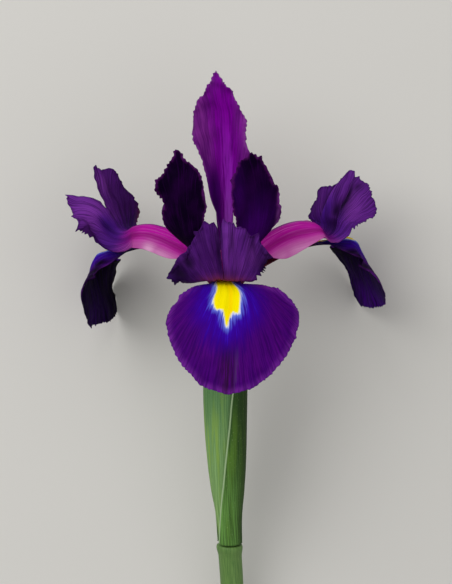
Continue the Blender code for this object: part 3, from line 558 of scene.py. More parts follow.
falls = {
    "fall_front": {
        "azimuth": 0, "slot": "fall", "haftEnd": (31.6, 10.4), "columns": 180, "rows": 130,
        "strip": fallHaft, "cuts": fallCuts, "calm": 0.1, "tints": {},
        "blade": ([(4.2, 0), (10.8, 1.2), (15.4, 3.6), (18.4, 9), (18.7, 14.4), (17.8, 18.8), (15.6, 24),
                   (11.8, 29.2), (7.6, 33.2), (3.4, 35.4), (-0.4, 36.2)],
                  [(4.2, 0), (12.2, 0.4), (16.2, 1.4), (19.4, 3.6), (21, 9.4), (20.4, 15.2), (18.6, 21.8),
                   (15, 27.8), (10, 32.8), (4.6, 35.4), (0.4, 36.2)]),
        "spine": [(3.4, 0.55), (3.9, 2.4), (6.3, 4.8), (12, 7.4), (20, 9.6), (27, 10.6), (32, 10.4),
                  (37, 9.1), (41.2, 5), (44.4, -1), (46.8, -8), (48.3, -15), (49.2, -22)],
        "fold": [fallFold, fallFold],
        "curl": [[(0, 0), (28, 0), (38, -0.026), (53, -0.016), (70, 0.002)]] * 2,
        "sway": [(0, 0), (30, 0), (38, 1.4), (52, 0.7), (68, 0.2)],
        "waves": [(6, 0.5, 0.5)],
        "signal": [(-1.3, 12), (-2.2, 24), (-2.8, 31), (-3.5, 35), (-4.7, 38.6), (-4.8, 41.4), (-4, 43.2),
                   (-2.5, 43.2), (-1.6, 45.4), (-0.7, 48.2), (0.1, 45.6), (0.9, 43.8), (2, 44.4), (2.5, 42),
                   (2.6, 38.6), (2.1, 34.6), (1.6, 31), (1.6, 24), (1.3, 12)],
    },
    "fall_left": {
        "azimuth": -113, "slot": "fall", "haftEnd": (31, 12.6), "columns": 120, "rows": 100,
        "strip": fallHaft, "cuts": sideCuts, "calm": 0.4,
        "blade": ([(4.2, 0), (4.4, 2.4), (5.2, 5.4), (7.2, 9.4), (11.8, 14), (16.6, 19), (18.4, 24),
                   (18.2, 29), (17, 33.8), (12, 35.4), (6, 35.2)],
                  [(4.2, 0), (7, 1.8), (10, 4.6), (12.8, 9), (15.2, 16), (17.8, 22), (18.6, 27.6),
                   (15, 31.8), (5, 34.2), (-6, 35.2)]),
        "spine": [(3.4, 0.55), (3.9, 2.4), (6.3, 5.2), (12, 9.8), (17, 12.2), (22, 13.2), (27, 13.2),
                  (31, 12.6), (35, 11.9), (39.2, 11.2), (42.6, 9.6), (44.4, 6), (44.4, 1.6), (43.2, -3),
                  (42, -8), (41.2, -12.6)],
        "fold": [haftFold + [(30, 0), (36, -26), (44, -38), (52, -14), (60, 0)],
                 [(0, 0), (8, 14), (22, 8), (29, -4), (34, -14), (38, -18), (45, -20), (51, -8), (58, 0)]],
        "curl": [farCurl, nearCurl],
        "twist": [(26, 0), (38, 0), (48, -12)], "waves": [(6, 0.8, 0.5)],
        "signal": [(-2.8, 28), (-3.9, 36), (-3.4, 41), (-1.6, 42), (-0.4, 44), (0.4, 41), (0.6, 36),
                   (0.4, 28)],
        "tints": {"shadow": [(7.5, 32, 5, 7.5, 1), (14, 41, 4, 4, 1), (16, 48, 4.6, 9, 1),
                             (17, 60, 4, 8, 1), (8.2, 40.5, 2.1, 6, 1), (11, 42, 3, 6, 1),
                             (9.6, 47.5, 2.6, 4.5, 1), (13, 48, 3.5, 4, 1)],
                  # painted light on the lower end of the underside
                  "flush": [(6, 64, 14, 9, 0.35)]},
    },
    "fall_right": {
        "azimuth": 113, "slot": "fall", "haftEnd": (32, 14.2), "columns": 120, "rows": 100,
        "strip": fallHaft, "cuts": sideCuts, "calm": 0.4,
        "blade": ([(4.2, 0), (7.4, 1.6), (11.6, 4.6), (15, 9.6), (17, 16), (18.8, 21.4), (17.8, 25),
                   (13.4, 28.6), (5.8, 32.4), (-4, 35.6)],
                  [(4.2, 0), (4.4, 2), (5.8, 5), (8.8, 9), (13, 14), (16, 20), (17, 25), (17.6, 30.6),
                   (15.8, 35), (10.4, 36.4), (4, 35.6)]),
        "spine": [(3.4, 0.55), (3.9, 2.4), (6.3, 5), (12, 8.4), (18, 11), (24, 13), (29, 14), (33.5, 14.4),
                  (37, 15), (40.2, 15.2), (42.8, 13.9), (44.6, 10.8), (46.2, 6), (47.7, 1), (49.2, -3.6),
                  (50.2, -7.5)],
        "fold": [haftFold + [(32, 0), (38, -14), (45, -18), (51, -4), (58, 2)],
                 haftFold + [(31, 0), (37, -28), (44, -36), (52, -20), (60, -8)]],
        "curl": [nearCurl, farCurl],
        "twist": [(26, 0), (38, 0), (48, 12)], "waves": [(6, 0.8, 2.5)],
        "signal": [(-0.2, 28), (-0.4, 38), (-2.2, 42), (-1.4, 43.8), (0, 46), (1.6, 43.4), (3.4, 41),
                   (3.9, 36), (2.8, 28)],
        "tints": {"shadow": [(-7.5, 32, 5, 7, 1), (-12, 41, 4.5, 6, 1), (-9.5, 38, 3, 5, 1),
                             (-15, 47, 3.4, 7, 1), (-17, 55, 3, 6, 0.7)],
                  # painted light on the lower end of the underside, stronger than on the left fall
                  "flush": [(0, 68, 24, 11, 1)]},
    },
}
fallColours = {
    "purple": shade(70, 4, 112), "vein": shade(48, 2, 86), "pink": shade(90, 10, 122),
    "rim": shade(122, 44, 154), "blue": shade(48, 0, 146), "bright": shade(66, 22, 196),
    "pale": shade(104, 122, 232), "white": shade(232, 236, 248), "yellow": shade(255, 236, 0),
    "deepYellow": shade(255, 216, 0), "midline": shade(46, 14, 52), "grey": shade(92, 58, 122),
    "haft": shade(96, 20, 50), "dusk": shade(12, 0, 26), "under": shade(5, 0, 12),
    # underLit is the lighter violet painted as light on the undersides' lower ends
    "underVein": shade(26, 2, 52), "underLit": shade(66, 6, 124),
}


def fallFinish():
    colours, looks = fallColours, fallLooks
    newMaterial("fallTissue", 0.6, 0.015)
    broad, fine, lines = veinPattern(*looks["veins"])
    signal, edge, along, across = (fact(name) for name in ("signal", "edge", "along", "across"))
    aside = maths("ABSOLUTE", across)
    ragged = minus(plus(times(broad, 0.6), times(fine, 0.9)), 0.75)
    zone, halo, ring, patchOut = (minus(signal, times(ragged, depth)) for depth in looks["raggedness"])
    middle = times(rise(aside, 0.2, 4.0, 0.9, 0.0), rise(along, 49, 57))
    greyStreak = times(rise(maths("ABSOLUTE", minus(across, 2.6)), 0.1, 0.9, 0.4, 0.0), rise(along, 52, 60))
    rimShare = rise(minus(edge, times(ragged, 1.5)), 0.1, 2.4, 0.65, 0.0)
    inner = layered(
        colours, colours["purple"],
        (rise(broad, 0.4, 0.7, 0, 0.55), "pink"),
        (rise(fine, 0.44, 0.62, 0, 0.75), "vein"),
        (times(lines, 0.45), "vein"),
        (times(middle, rise(fine, 0.35, 0.6, 0.25, 1)), "midline"),
        (times(greyStreak, rise(fine, 0.4, 0.55)), "grey"),
        (times(rimShare, rise(fine, 0.4, 0.62, 1, 0.35)), "rim"))
    # the haft, then the blue zone, the white halo and the yellow patch
    onBlade = rise(along, 27, 34)
    glow = times(rise(zone, 0.5, 6.0, 0.75, 0.0), rise(fine, 0.45, 0.62, 0.15, 1.0))
    inner = layered(
        colours, mixed(onBlade, colours["haft"], inner),
        (times(onBlade, rise(zone, 1.5, 11, 0.95, 0)), "blue"),
        (times(glow, onBlade), "bright"),
        (times(onBlade, rise(halo, 0.2, 2.2, 0.85, 0)), "pale"),
        (times(onBlade, rise(ring, 0, 0.8, 0.9, 0)), "white"),
        (fact("shadow"), "dusk"))
    yellow = mixed(rise(aside, 0.1, 1.0, 0.8, 0.0), colours["yellow"], colours["deepYellow"])
    inner = mixed(rise(patchOut, -0.35, 0.45, 1.0, 0.0), inner, yellow)
    outer = layered(
        colours, colours["under"],
        (rise(fine, 0.45, 0.7, 0, 0.8), "underVein"),
        # painted light: the undersides' lower ends are painted lighter violet, as if lit better there, the
        # right fall more than the left
        (times(fact("flush"), rise(fine, 0.38, 0.6, 0.25, 1)), "underLit"),
        (times(rise(along, 20, 34, 0.8, 0), rise(fine, 0.2, 0.8, 1, 0.3)), "haft"))
    body = mixed(fact("face"), outer, inner)
    return finished(body, skin(fine, lines), looks["relief"], looks["through"])


# Standards.

standardLooks = {
    "thick": 0.4, "margin": 0.15, "keel": 0.3, "crumple": 0.22, "crumpleSize": 8.0, "frill": 0.35,
    "frillSize": 4.5, "pleat": 0.06, "pleats": 40, "groove": -0.12, "grooveWidth": 1.0, "seed": 31,
    "waveBack": 0, "veinBack": 6, "veins": (66, 0.1, 11), "relief": 0.1, "through": 0.1, "corner": 0.6,
    "tints": ("dark", "glow"), "tintsAlong": "along",
}
standardCuts = [{"spacing": 1.3, "height": 0.75, "sharpness": 1.1, "seed": 14},
                {"spacing": 4.4, "height": 0.7, "sharpness": 1.0, "seed": 19}]
backFold = [(0, 0), (6, 16), (20, 26), (36, 14), (55, 6)]
frontFold = [(0, 0), (6, 20), (14, 24), (28, 4), (55, -4)]
frontClaw = [(0, 1.15), (4, 1.4), (9, 2), (13, 2.6), (18, 4)]
frontCurl = [(0, 0), (20, 0), (40, -0.02), (70, -0.02)]
standards = {
    "standard_back": {
        "azimuth": 180, "slot": "standard_back", "columns": 100, "rows": 150,
        "cuts": standardCuts, "calm": 0.3,
        "spine": [(3.4, 0.55), (3.7, 6), (4.8, 14), (6, 24), (7.5, 36), (8.3, 48), (8, 58), (6.5, 64.2),
                  (5.5, 67)],
        "strip": [(0, 1.15), (4, 1.4), (10, 1.8), (16, 2.1), (24, 2.7)],
        "blade": ([(2.7, 0), (3.6, 5), (4.6, 10), (6.8, 14), (8.8, 16.6), (8, 19), (7.6, 22), (8.2, 26.4),
                   (7.4, 30.4), (6.2, 32.8), (5.2, 36.4), (3.2, 39.4), (1.4, 42.4), (0.6, 43.9)],
                  [(2.7, 0), (4.2, 3.8), (5.2, 9.8), (6.2, 14.4), (8, 19.6), (8.8, 22.8), (8, 27.4),
                   (7.4, 30.4), (6.4, 33.2), (4, 36.2), (1.8, 39.6), (-0.6, 43.9)]),
        "fold": [backFold, backFold], "curl": [[(0, 0), (20, 0.02), (40, 0.02), (70, 0.01)]] * 2,
        "sway": [(0, 0), (24, 0.4), (46, 1.4), (70, 3.6)], "waves": [(5, 0.7, 1)],
        # the dark spots are painted shade along the claw's channel and on the blade
        "tints": {"dark": [(2.9, 30, 1.4, 9, 0.85), (5.6, 41, 1.8, 5, 0.55), (6.4, 52, 1.6, 3, 0.35),
                           (-6, 44, 1.4, 3, 0.35)],
                  "glow": [(0.5, 64, 2.4, 4, 0.2)]},
    },
    "standard_left": {
        "azimuth": -52, "slot": "standard_front", "columns": 100, "rows": 130,
        "cuts": standardCuts, "calm": 0.3,
        "spine": [(3.4, 0.55), (4.4, 3.8), (7.4, 9.4), (10.9, 14.7), (14.6, 21.2), (16.4, 27.4),
                  (17.1, 33.9), (17.4, 39.9), (18.1, 45.8)],
        "strip": frontClaw, "fold": [frontFold, frontFold],
        "blade": ([(4, 0), (5.6, 3.5), (7.2, 6.5), (7.4, 10), (6.6, 12.2), (5.2, 14.2), (6.8, 16.8),
                   (7.6, 19.2), (7.4, 21.2), (5.4, 23.8), (4.2, 25.4), (2.4, 28.4), (0.8, 31)],
                  [(4, 0), (5.4, 5), (7, 9.8), (8.2, 12.4), (9, 14.8), (9, 16.8), (8.2, 19.2), (7.6, 22.8),
                   (6.2, 25.2), (4, 27), (2, 28), (1, 30), (-0.8, 31)]),
        "curl": [frontCurl, frontCurl], "twist": [(10, 0), (24, 24)],
        "waves": [(6, 1, 0.4)], "tints": {"glow": [(9.4, 33, 0.9, 3, 0.4), (-7.6, 30, 0.8, 2, 0.25)]},
    },
    "standard_right": {
        "azimuth": 52, "slot": "standard_front", "columns": 100, "rows": 130,
        "cuts": standardCuts, "calm": 0.3,
        "spine": [(3.4, 0.55), (4.4, 3.8), (6.6, 9.5), (9, 16.5), (11, 22.8), (11.6, 28), (11.2, 34),
                  (10.4, 39), (10, 44.5)],
        "strip": [(q * 0.85, half) for q, half in frontClaw], "fold": [frontFold, frontFold],
        "blade": ([(4, 0), (5.4, 5.5), (6.6, 10), (8, 12.6), (8.6, 16.4), (8.4, 19.8), (8, 23.8),
                   (5.8, 25.6), (4.2, 27.8), (1.6, 29.2), (0, 30.2)],
                  [(4, 0), (6.6, 3.5), (7.2, 7), (8.8, 9.6), (8.4, 12.4), (7.6, 15), (7.6, 17.4), (6.8, 19),
                   (5.2, 20.6), (5, 23.4), (3.4, 26.6), (2.6, 28.8), (1.6, 29.2), (0, 30.2)]),
        "curl": [frontCurl, frontCurl], "twist": [(10, 0), (24, -24)],
        "waves": [(6, 1, 2.4)],
        # the dark spots here paint a lighter violet sheen on the near-black outer face
        "tints": {"dark": [(0.5, 22, 5.5, 9, 0.75), (-6.4, 33, 3, 9, 0.5)],
                  "glow": [(7.9, 31, 0.9, 3.4, 0.75), (8.2, 24, 0.8, 2.4, 0.6), (7.4, 27, 0.6, 2, 0.5)]},
    },
}
standardColours = {
    "standardBack": {"inner": shade(126, 0, 152), "innerVein": shade(80, 4, 102), "side": shade(132, 46, 144),
                     "stripe": shade(152, 36, 186), "claw": shade(172, 74, 206), "flankShade": shade(78, 0, 114),
                     "outer": shade(40, 3, 58), "outerVein": shade(66, 8, 84), "rim": shade(134, 60, 148),
                     "glow": shade(160, 50, 190), "dark": shade(52, 0, 78)},
    "standardFront": {"inner": shade(70, 10, 88), "innerVein": shade(50, 4, 64), "side": shade(80, 26, 94),
                      "stripe": shade(96, 14, 112), "claw": shade(96, 20, 112), "flankShade": shade(40, 2, 60),
                      "outer": shade(12, 0, 25), "outerVein": shade(42, 0, 62), "rim": shade(92, 24, 104),
                      # this dark is a lighter violet, painted as sheen on the right standard
                      "glow": shade(140, 66, 156), "dark": shade(72, 0, 118)},
}


def standardFinish(name):
    colours, looks = standardColours[name], standardLooks
    newMaterial(name + "Tissue", 0.6, 0.015)
    broad, fine, lines = veinPattern(*looks["veins"])
    edge, along, across = (fact(word) for word in ("edge", "along", "across"))
    jitter = times(minus(fine, 0.5), 7.0)
    spread = plus(maths("ABSOLUTE", plus(across, 1.4)), jitter)
    inner = layered(
        colours, colours["inner"],
        (rise(spread, 2, 6.5, 0, 0.9), "side"),
        (rise(fine, 0.42, 0.6, 0, 0.6), "innerVein"),
        (rise(broad, 0.5, 0.7, 0, 0.5), "innerVein"),
        (times(lines, 0.35), "innerVein"),
        (times(rise(spread, 0.4, 2.2, 0.9, 0), rise(along, 30, 58, 1, 0)), "stripe"),
        # painted shade: one side of the claw and of the blade's foot is darker, as in the shade of its
        # channel
        (times(rise(plus(across, times(jitter, 0.5)), 0.3, 2), rise(along, 30, 42, 1, 0)), "flankShade"),
        (times(rise(spread, 0.2, 1.6, 0.9, 0), rise(along, 20, 36, 1, 0)), "claw"))
    cloud = noise(times(across, 0.16), times(along, 0.12), 5.0)
    outer = layered(
        colours, colours["outer"],
        (rise(cloud, 0.42, 0.7, 0, 0.4), "outerVein"),
        (rise(fine, 0.5, 0.66, 0, 0.55), "outerVein"))
    body = layered(
        colours, mixed(fact("face"), outer, inner),
        # the dark tint is painted shade on the back standard and a painted violet sheen on the right front
        # one
        (times(fact("dark"), rise(fine, 0.35, 0.6, 1, 0.6)), "dark"),
        (rise(plus(edge, times(broad, 2.4)), 0.8, 2, 0.7, 0), "rim"),
        (fact("glow"), "glow"))
    return finished(body, skin(fine, lines), looks["relief"], looks["through"])


# Style arms.

armStrip = [(0, 0.9), (4, 1.3), (9, 4.4), (15, 8.4), (24, 9.4), (31, 8.6), (36, 6.6)]
leftStrip = [(0, 0.9), (4, 1.3), (9, 4.4), (15, 8.2), (24, 9), (31, 9), (36, 8.6)]
rightStrip = [(0, 0.9), (4, 1.3), (9, 5.2), (14, 9.4), (20, 10.2), (26, 9.4), (31, 8.6), (36, 7.6)]
slit = [(0, 0), (0.12, 4), (0.16, 10), (0.2, 16)]
lobes = {
    "frontLeft": ([(6.6, 0), (11.5, 0.2), (15, 0.3), (16.4, 2.6), (15.4, 4.8), (12.8, 6), (11.6, 7.6),
                   (10.6, 9.4), (9.8, 12), (7.6, 14.2), (6.2, 16.6), (5.6, 19), (3.4, 20.8), (1.4, 20.6)],
                  slit + [(0.6, 18.8), (1.4, 20.6)]),
    "frontRight": ([(6.6, 0), (8.2, 1), (10.8, 2.8), (13, 5.6), (14.6, 9), (13.2, 10.4), (12.2, 12.4),
                    (11.4, 14.4), (9.4, 16.4), (7.4, 18.2), (4.8, 19.8), (1.2, 21.6)],
                   slit + [(0.6, 19.4), (1.2, 21.6)]),
    "leftFar": ([(8.6, 0), (11.2, 1.2), (12.2, 3.4), (11.4, 6.4), (10.4, 9.6), (9.6, 12.4), (9.4, 15),
                 (8.6, 17.6), (8, 19.8), (6, 21.4), (3.2, 22), (0.8, 22.6)],
                slit + [(0.2, 20), (0.8, 22.6)]),
    "leftNear": ([(8.6, 0), (9.2, 1.4), (10.4, 4.4), (11.6, 8), (12.4, 11), (10.2, 14), (8.2, 17.2),
                  (5, 20.4), (2.2, 23)], slit + [(0.8, 19.2), (2.2, 23)]),
    "rightNear": ([(7.6, 0), (8.4, 1.4), (10.6, 4), (12.4, 7), (13.4, 10.4), (13, 13.6), (10.8, 16.8),
                   (7.4, 19.4), (3.2, 20.4)], slit + [(0.8, 18.6), (3.2, 20.4)]),
    "rightFar": ([(7.6, 0), (9.6, 1.6), (9.4, 5), (8.8, 8), (8.6, 10.6), (8, 12.8), (5.8, 14), (4.6, 17),
                  (4, 19.4), (1.4, 21)], slit + [(0.6, 19.4), (1.4, 21)]),
}
armFold = [(0, 0), (5, -26), (12, -48), (20, -58), (28, -52), (34, -30)]
frontArmFold = [(0, 0), (5, -24), (12, -44), (20, -50), (28, -44), (34, -28), (41, 6), (60, 10)]
armCurl = [(0, 0), (20, -0.02), (36, 0), (60, 0.01)]
armLooks = {
    "thick": 0.42, "margin": 0.15, "keel": 0.1, "crumple": 0.14, "crumpleSize": 7.0, "frill": 0.3,
    "frillSize": 3.4, "pleat": 0.13, "pleats": 46, "groove": 0.0, "grooveWidth": 1.0, "seed": 41,
    "waveBack": 3, "veinBack": 4, "veins": (84, 0.08, 23), "relief": 0.12, "through": 0.1, "columns": 108,
    "rows": 84, "tints": ("dark", "glow", "indigo", "pale", "warm"), "tintsAlong": "crest",
}
armCuts = [{"spacing": 1.2, "height": 0.9, "sharpness": 1.2, "seed": 24},
           {"spacing": 3.6, "height": 1.1, "sharpness": 1.3, "seed": 29}]
arms = {
    "style_arm_front": {
        "azimuth": 0, "slot": "style", "lobes": ["frontLeft", "frontRight"], "strip": armStrip,
        "spine": [(1.35, 7.55), (3.2, 10.4), (8, 14.2), (14, 17), (20, 18.4), (26, 17.8), (30.4, 15),
                  (32.8, 12.1)],
        "spines": [[(34.6, 12), (36.2, 14.5), (37.4, 19), (38.4, 25), (39.2, 31)]] * 2,
        "fold": [frontArmFold, frontArmFold], "curl": [armCurl, armCurl], "sway": [(34, 0), (60, -2)],
        "waves": [(13, 0.6, 0.4)], "toothed": 1.5,
        # the dark spots are painted shade in the crest's valleys, recesses and folds and on lobes that lie in
        # shade
        "tints": {"dark": [(-12.5, 3, 5, 4.6, 1), (-10, 7.4, 2.4, 3, 0.95), (12.6, 5, 3.4, 6, 1),
                           (9.8, 12, 0.9, 5, 0.6), (-5, 13, 5, 9, 0.4), (0, -8, 3, 10, 0.85),
                           (-0.8, 11, 0.9, 9, 0.9), (-6.6, 9, 0.7, 6, 0.5), (3.6, 14, 0.6, 4, 0.5)],
                  "glow": [(2.5, 16, 3, 7, 0.5), (5, 8, 3, 5, 0.35), (9, 10, 2, 4, 0.6),
                           (1.3, 9, 0.7, 7, 0.6)],
                  "warm": [(0, 0.6, 7, 2.6, 0.9)]},
        "bumps": [(-1.6, 12, 1.2, 8, 1.1), (9.6, 14, 1, 6, 0.9), (6.4, 14, 1.3, 7, -0.7),
                  (-5.4, 13, 1.1, 7, 0.7), (-9.4, 9, 1.2, 5, -0.7), (-12.6, 7, 1, 4, 0.8),
                  (12.4, 10, 0.9, 4, -0.6), (2.6, 18, 1, 6, -0.5)],
    },
    "style_arm_left": {
        "azimuth": -113, "slot": "style", "lobes": ["leftFar", "leftNear"], "strip": leftStrip,
        "spine": [(1.35, 7.55), (3.2, 10.4), (8, 14), (14, 17.2), (20, 19.4), (25.5, 20), (30.2, 19),
                  (32.8, 17.6)],
        "spines": [[(34.4, 18), (36.6, 20.2), (39.2, 23.8), (41.6, 27.6), (43, 31.6), (44, 36)],
                   [(34.4, 18), (36.6, 20.3), (39.2, 23.6), (42, 25.5), (45.2, 26.5), (49, 27),
                    (55, 28.2)]],
        "fold": [armFold + [(41, 20), (50, 30), (60, 30)],
                 armFold[:-2] + [(28, -50), (34, -44), (38, -50), (45, -44), (60, -38)]],
        "curl": [armCurl, armCurl], "waves": [(13, 0.6, 0.4)],
        # the dark spots are painted shade in the crest's valleys, recesses and folds and on lobes that lie in
        # shade
        "tints": {"dark": [(-7, 9, 6, 12, 0.65), (3, -3, 5, 2.6, 0.35), (9.5, 5, 2.4, 5.5, 0.7),
                           (3, 4.6, 1.8, 2.8, 0.6)],
                  "glow": [(-2.2, 17, 2.6, 4, 1), (4.5, 12, 5, 8, 0.8), (1, 1.2, 1.6, 1.4, 0.8)],
                  "indigo": [(2.8, 5, 2.2, 3.4, 0.8)], "warm": [(-12.5, 2.5, 2, 3, 0.6)],
                  "pale": [(8.8, -11, 2.2, 2.6, 0.85), (8.6, -17, 1.3, 6, 0.5)]},
        "bumps": [(7.4, 8, 1, 7, -1.3), (9.6, 7, 1.4, 5, 0.7), (3, 8, 1.8, 3.6, -0.8), (-3, 19, 1, 5, 0.8),
                  (-5.5, 18, 0.9, 6, -0.7)],
    },
    "style_arm_right": {
        "azimuth": 113, "slot": "style", "lobes": ["rightNear", "rightFar"], "strip": rightStrip,
        "spine": [(1.35, 7.55), (3.2, 10.4), (8, 14.4), (14, 18.4), (20, 20.6), (26, 20.9), (30.4, 19.4),
                  (32.8, 17.2)],
        "spines": [[(34.2, 18.6), (34.5, 21.5), (35.6, 25.5), (37.6, 29.5), (40.2, 33.6), (42.8, 37)],
                   [(34.2, 18.6), (34.6, 21.5), (36.2, 25.5), (38.8, 29.5), (41.6, 33.4), (44.4, 37)]],
        "fold": [armFold[:-1] + [(34, -24), (38, -20), (45, -46), (60, -52)],
                 armFold[:-2] + [(26, -42), (31, -14), (36, 8), (41, 22), (60, 16)]],
        "curl": [armCurl, armCurl], "waves": [(13, 0.6, 1.4)],
        "valley": [(34, 0), (40, 2.4), (52, 2.4), (60, 1)],
        # the dark spots are painted shade in the crest's valleys, recesses and folds and on lobes that lie in
        # shade
        "tints": {"dark": [(1.3, 3, 1.6, 2.5, 0.8), (0.2, 6.8, 1.7, 3, 1), (-2.4, 9.6, 1.8, 3, 1),
                           (8, 6, 4, 6, 0.3), (-2.7, 13.4, 1.6, 4, 1), (-4.4, 17, 1.3, 2, 0.7),
                           (4.8, 9, 0.5, 7, 0.8), (-3, 11, 1.9, 5, 1), (1.5, 7.6, 0.6, 3, 0.9)],
                  "glow": [(3.3, 10, 0.8, 5, 0.6), (-6, 9, 4, 6, 0.6), (-9, 1.4, 3, 1.4, 0.9)],
                  "indigo": [(3, 6.5, 1, 5, 0.7), (-3, 6, 2, 3, 0.4)],
                  "pale": [(-9.4, -13, 1.6, 7, 0.45), (-9, -22, 1.6, 4, 0.3)]},
        "bumps": [(3.2, 11, 0.9, 8, 1.2), (4.8, 11, 0.7, 8, -0.7), (0.2, 10, 1.2, 8, -0.9),
                  (-8, 14, 0.9, 6, -0.5), (-4.4, 16, 1, 6, 0.5)],
    },
}
armColours = {
    "ridge": shade(192, 18, 164), "streak": shade(224, 96, 202), "crease": shade(138, 12, 112),
    "low": shade(184, 84, 160), "spine": shade(104, 58, 128), "violet": shade(82, 24, 120),
    "vein": shade(44, 8, 70), "bright": shade(106, 42, 146), "glow": shade(130, 56, 166),
    "indigo": shade(56, 8, 140), "rim": shade(40, 8, 56), "dark": shade(22, 2, 38),
    "warm": shade(148, 54, 66), "pale": shade(232, 176, 214),
}


def armFinish():
    colours, looks = armColours, armLooks
    newMaterial("styleArmTissue", 0.55, 0.04)
    broad, fine, lines = veinPattern(*looks["veins"])
    edge, crest, across = (fact(word) for word in ("edge", "crest", "across"))
    aside = maths("ABSOLUTE", across)
    streaks = noise(times(across, 2.6), times(crest, 0.05), 3.0, 3.0, 0.65)
    strip = layered(
        colours, colours["ridge"],
        (rise(streaks, 0.48, 0.68, 0, 0.75), "streak"),
        (rise(aside, 4.8, 7.4, 0, 0.85), "low"),
        # painted shade: a darker band in the crease along each side of the strip
        (times(rise(aside, 2.4, 4.4), rise(aside, 4.4, 6.6, 0.8, 0)), "crease"),
        (rise(aside, 0.3, 0.9, 0.6, 0), "spine"))
    lobe = layered(
        colours, colours["violet"],
        (rise(broad, 0.35, 0.65, 0, 0.7), "bright"),
        (fact("glow"), "glow"),
        # painted shade: deep indigo in the recesses where the lobes rise from the strip
        (rise(crest, 1, 7, 0.4, 0), "indigo"),
        (fact("indigo"), "indigo"),
        (rise(fine, 0.44, 0.62, 0, 0.75), "vein"),
        (times(lines, 0.3), "vein"),
        (rise(plus(edge, broad), 0.4, 1.4, 0.35, 0), "rim"))
    body = layered(
        colours, mixed(rise(plus(crest, times(fine, 5.0)), -1.0, 4.0), strip, lobe),
        (times(fact("pale"), rise(streaks, 0.3, 0.6, 0.6, 1)), "pale"),
        (fact("warm"), "warm"),
        # painted shade from the dark spots
        (fact("dark"), "dark"))
    return finished(body, skin(fine, lines), looks["relief"], looks["through"])


def makeArm(name, shape, finish, looks):
    spines = [makeSpine(shape["spine"] + lobeSpine) for lobeSpine in shape["spines"]]
    start = spineLength(spines[0], shape["spine"][-1])
    scale = start / shape["strip"][-1][0]
    columns, rows = looks["columns"], looks["rows"]
    strip = stripGrid([(q * scale, half) for q, half in shape["strip"]], start, columns + 1, rows)
    grids, rims = [strip], [np.zeros(strip.shape[:2])]
    for side, lobe in zip((-1, 1), shape["lobes"]):
        cuts = [{**cut, "seed": cut["seed"] + 10 * side, "height": cut["height"] * shape.get("toothed", 1)}
                for cut in armCuts]
        grids.append(lobeGrid(*lobes[lobe], start, side, columns // 2, rows, cuts))
        rims.append(rimOf(grids[-1]))
    petal(name, {**shape, "slitStart": start}, finish, grids, rims, spines, start, looks)


# Stem, ovary, column and stamens.

stalk = {
    "line": [(-118, 2.8), (-90, 1.8), (-69, 0.5), (-59, 0), (-50, -0.3), (-40, -0.6), (-28, -0.7),
             (-12, -0.3), (0, 0)],
    "end": -118.0, "radius": 3.6, "shoulder": -81.0, "pedicel": 2.1, "ovaryBase": -27.0, "relief": 0.1,
    "nodeRings": [(-80.4, 3.65), (-79.8, 3.78), (-79.2, 3.92), (-78.6, 4), (-78, 3.98), (-77.6, 3.8),
                  (-77.5, 3.2), (-77.3, 2.2)],
    "ovary": [(-27, 2.1), (-24.5, 2.9), (-20, 3.4), (-14, 3.5), (-9, 3.1), (-6, 2.7), (-4, 2.8), (-2, 3.5),
              (-0.6, 4.2), (0, 4.25)],
    "column": [(0.35, 1.15), (4.5, 1.15), (6.2, 2.15), (7, 2.15)],
    "colours": {"stemGreen": (shade(98, 132, 66), shade(74, 110, 50), shade(150, 172, 112)),
                "ovaryGreen": (shade(120, 150, 84), shade(96, 128, 66), shade(176, 190, 140)),
                "columnTissue": (shade(170, 110, 170), shade(150, 80, 150), shade(200, 160, 200))},
}


def stemX(up):
    return throughPoints(stalk["line"], (np.asarray(up) - stalk["end"]) / -stalk["end"])[:, 1]


def ringedPiece(name, rings, sides, finish, ridges):
    # a closed solid through round rings given as (up, radius); ridges(up, turn) scales the radius
    turns = np.arange(sides) * 2 * math.pi / sides
    points, heights, angles = [], [], []
    for up, radius in rings:
        wide = radius * (1 + ridges(up, turns))
        x = stemX([up])[0]
        points.append(np.stack([x + wide * np.sin(turns), wide * np.cos(turns), np.full(sides, up)], -1))
        heights.append(np.full(sides, up))
        angles.append(turns)
    centres = [[stemX([up])[0], 0.0, up] for up in (rings[0][0], rings[-1][0])]
    points = np.concatenate(points + [np.array(centres)])
    a = (np.arange(len(rings) - 1)[:, None] * sides + np.arange(sides)[None]).reshape(-1)
    b = (np.arange(len(rings) - 1)[:, None] * sides + (np.arange(sides) + 1)[None] % sides).reshape(-1)
    faces = [(i, j, j + sides, i + sides) for i, j in zip(a, b)]
    foot, top = len(rings) * sides, len(rings) * sides + 1
    last = (len(rings) - 1) * sides
    faces += [(foot, (j + 1) % sides, j) for j in range(sides)]
    faces += [(top, last + j, last + (j + 1) % sides) for j in range(sides)]
    ends = [rings[0][0], rings[-1][0]]
    facts = {"along": np.concatenate(heights + [ends]), "turn": np.concatenate(angles + [[0, 0]]),
             "core": np.concatenate([np.ones(len(rings) * sides), [0, 0]])}
    addPiece(name + "_piece", points, faces, facts, finish, name)


def greenFinish(name):
    light, dark, pale = stalk["colours"][name]
    newMaterial(name, 0.5, 0.3)
    turn, along = fact("turn"), fact("along")
    streak = noise(times(turn, 9.0), times(along, 0.15), 3.0)
    flecks = noise(times(turn, 22.0), times(along, 1.6), 9.0)
    body = mixed(rise(streak, 0.35, 0.7), light, dark)
    body = mixed(rise(flecks, 0.6, 0.8, 0.0, 0.4), body, pale)
    body = mixed(rise(fact("core"), 0.55, 0.95, 1.0, 0.0), body, pale)
    return finished(body, plus(streak, times(flecks, 0.4)), stalk["relief"])


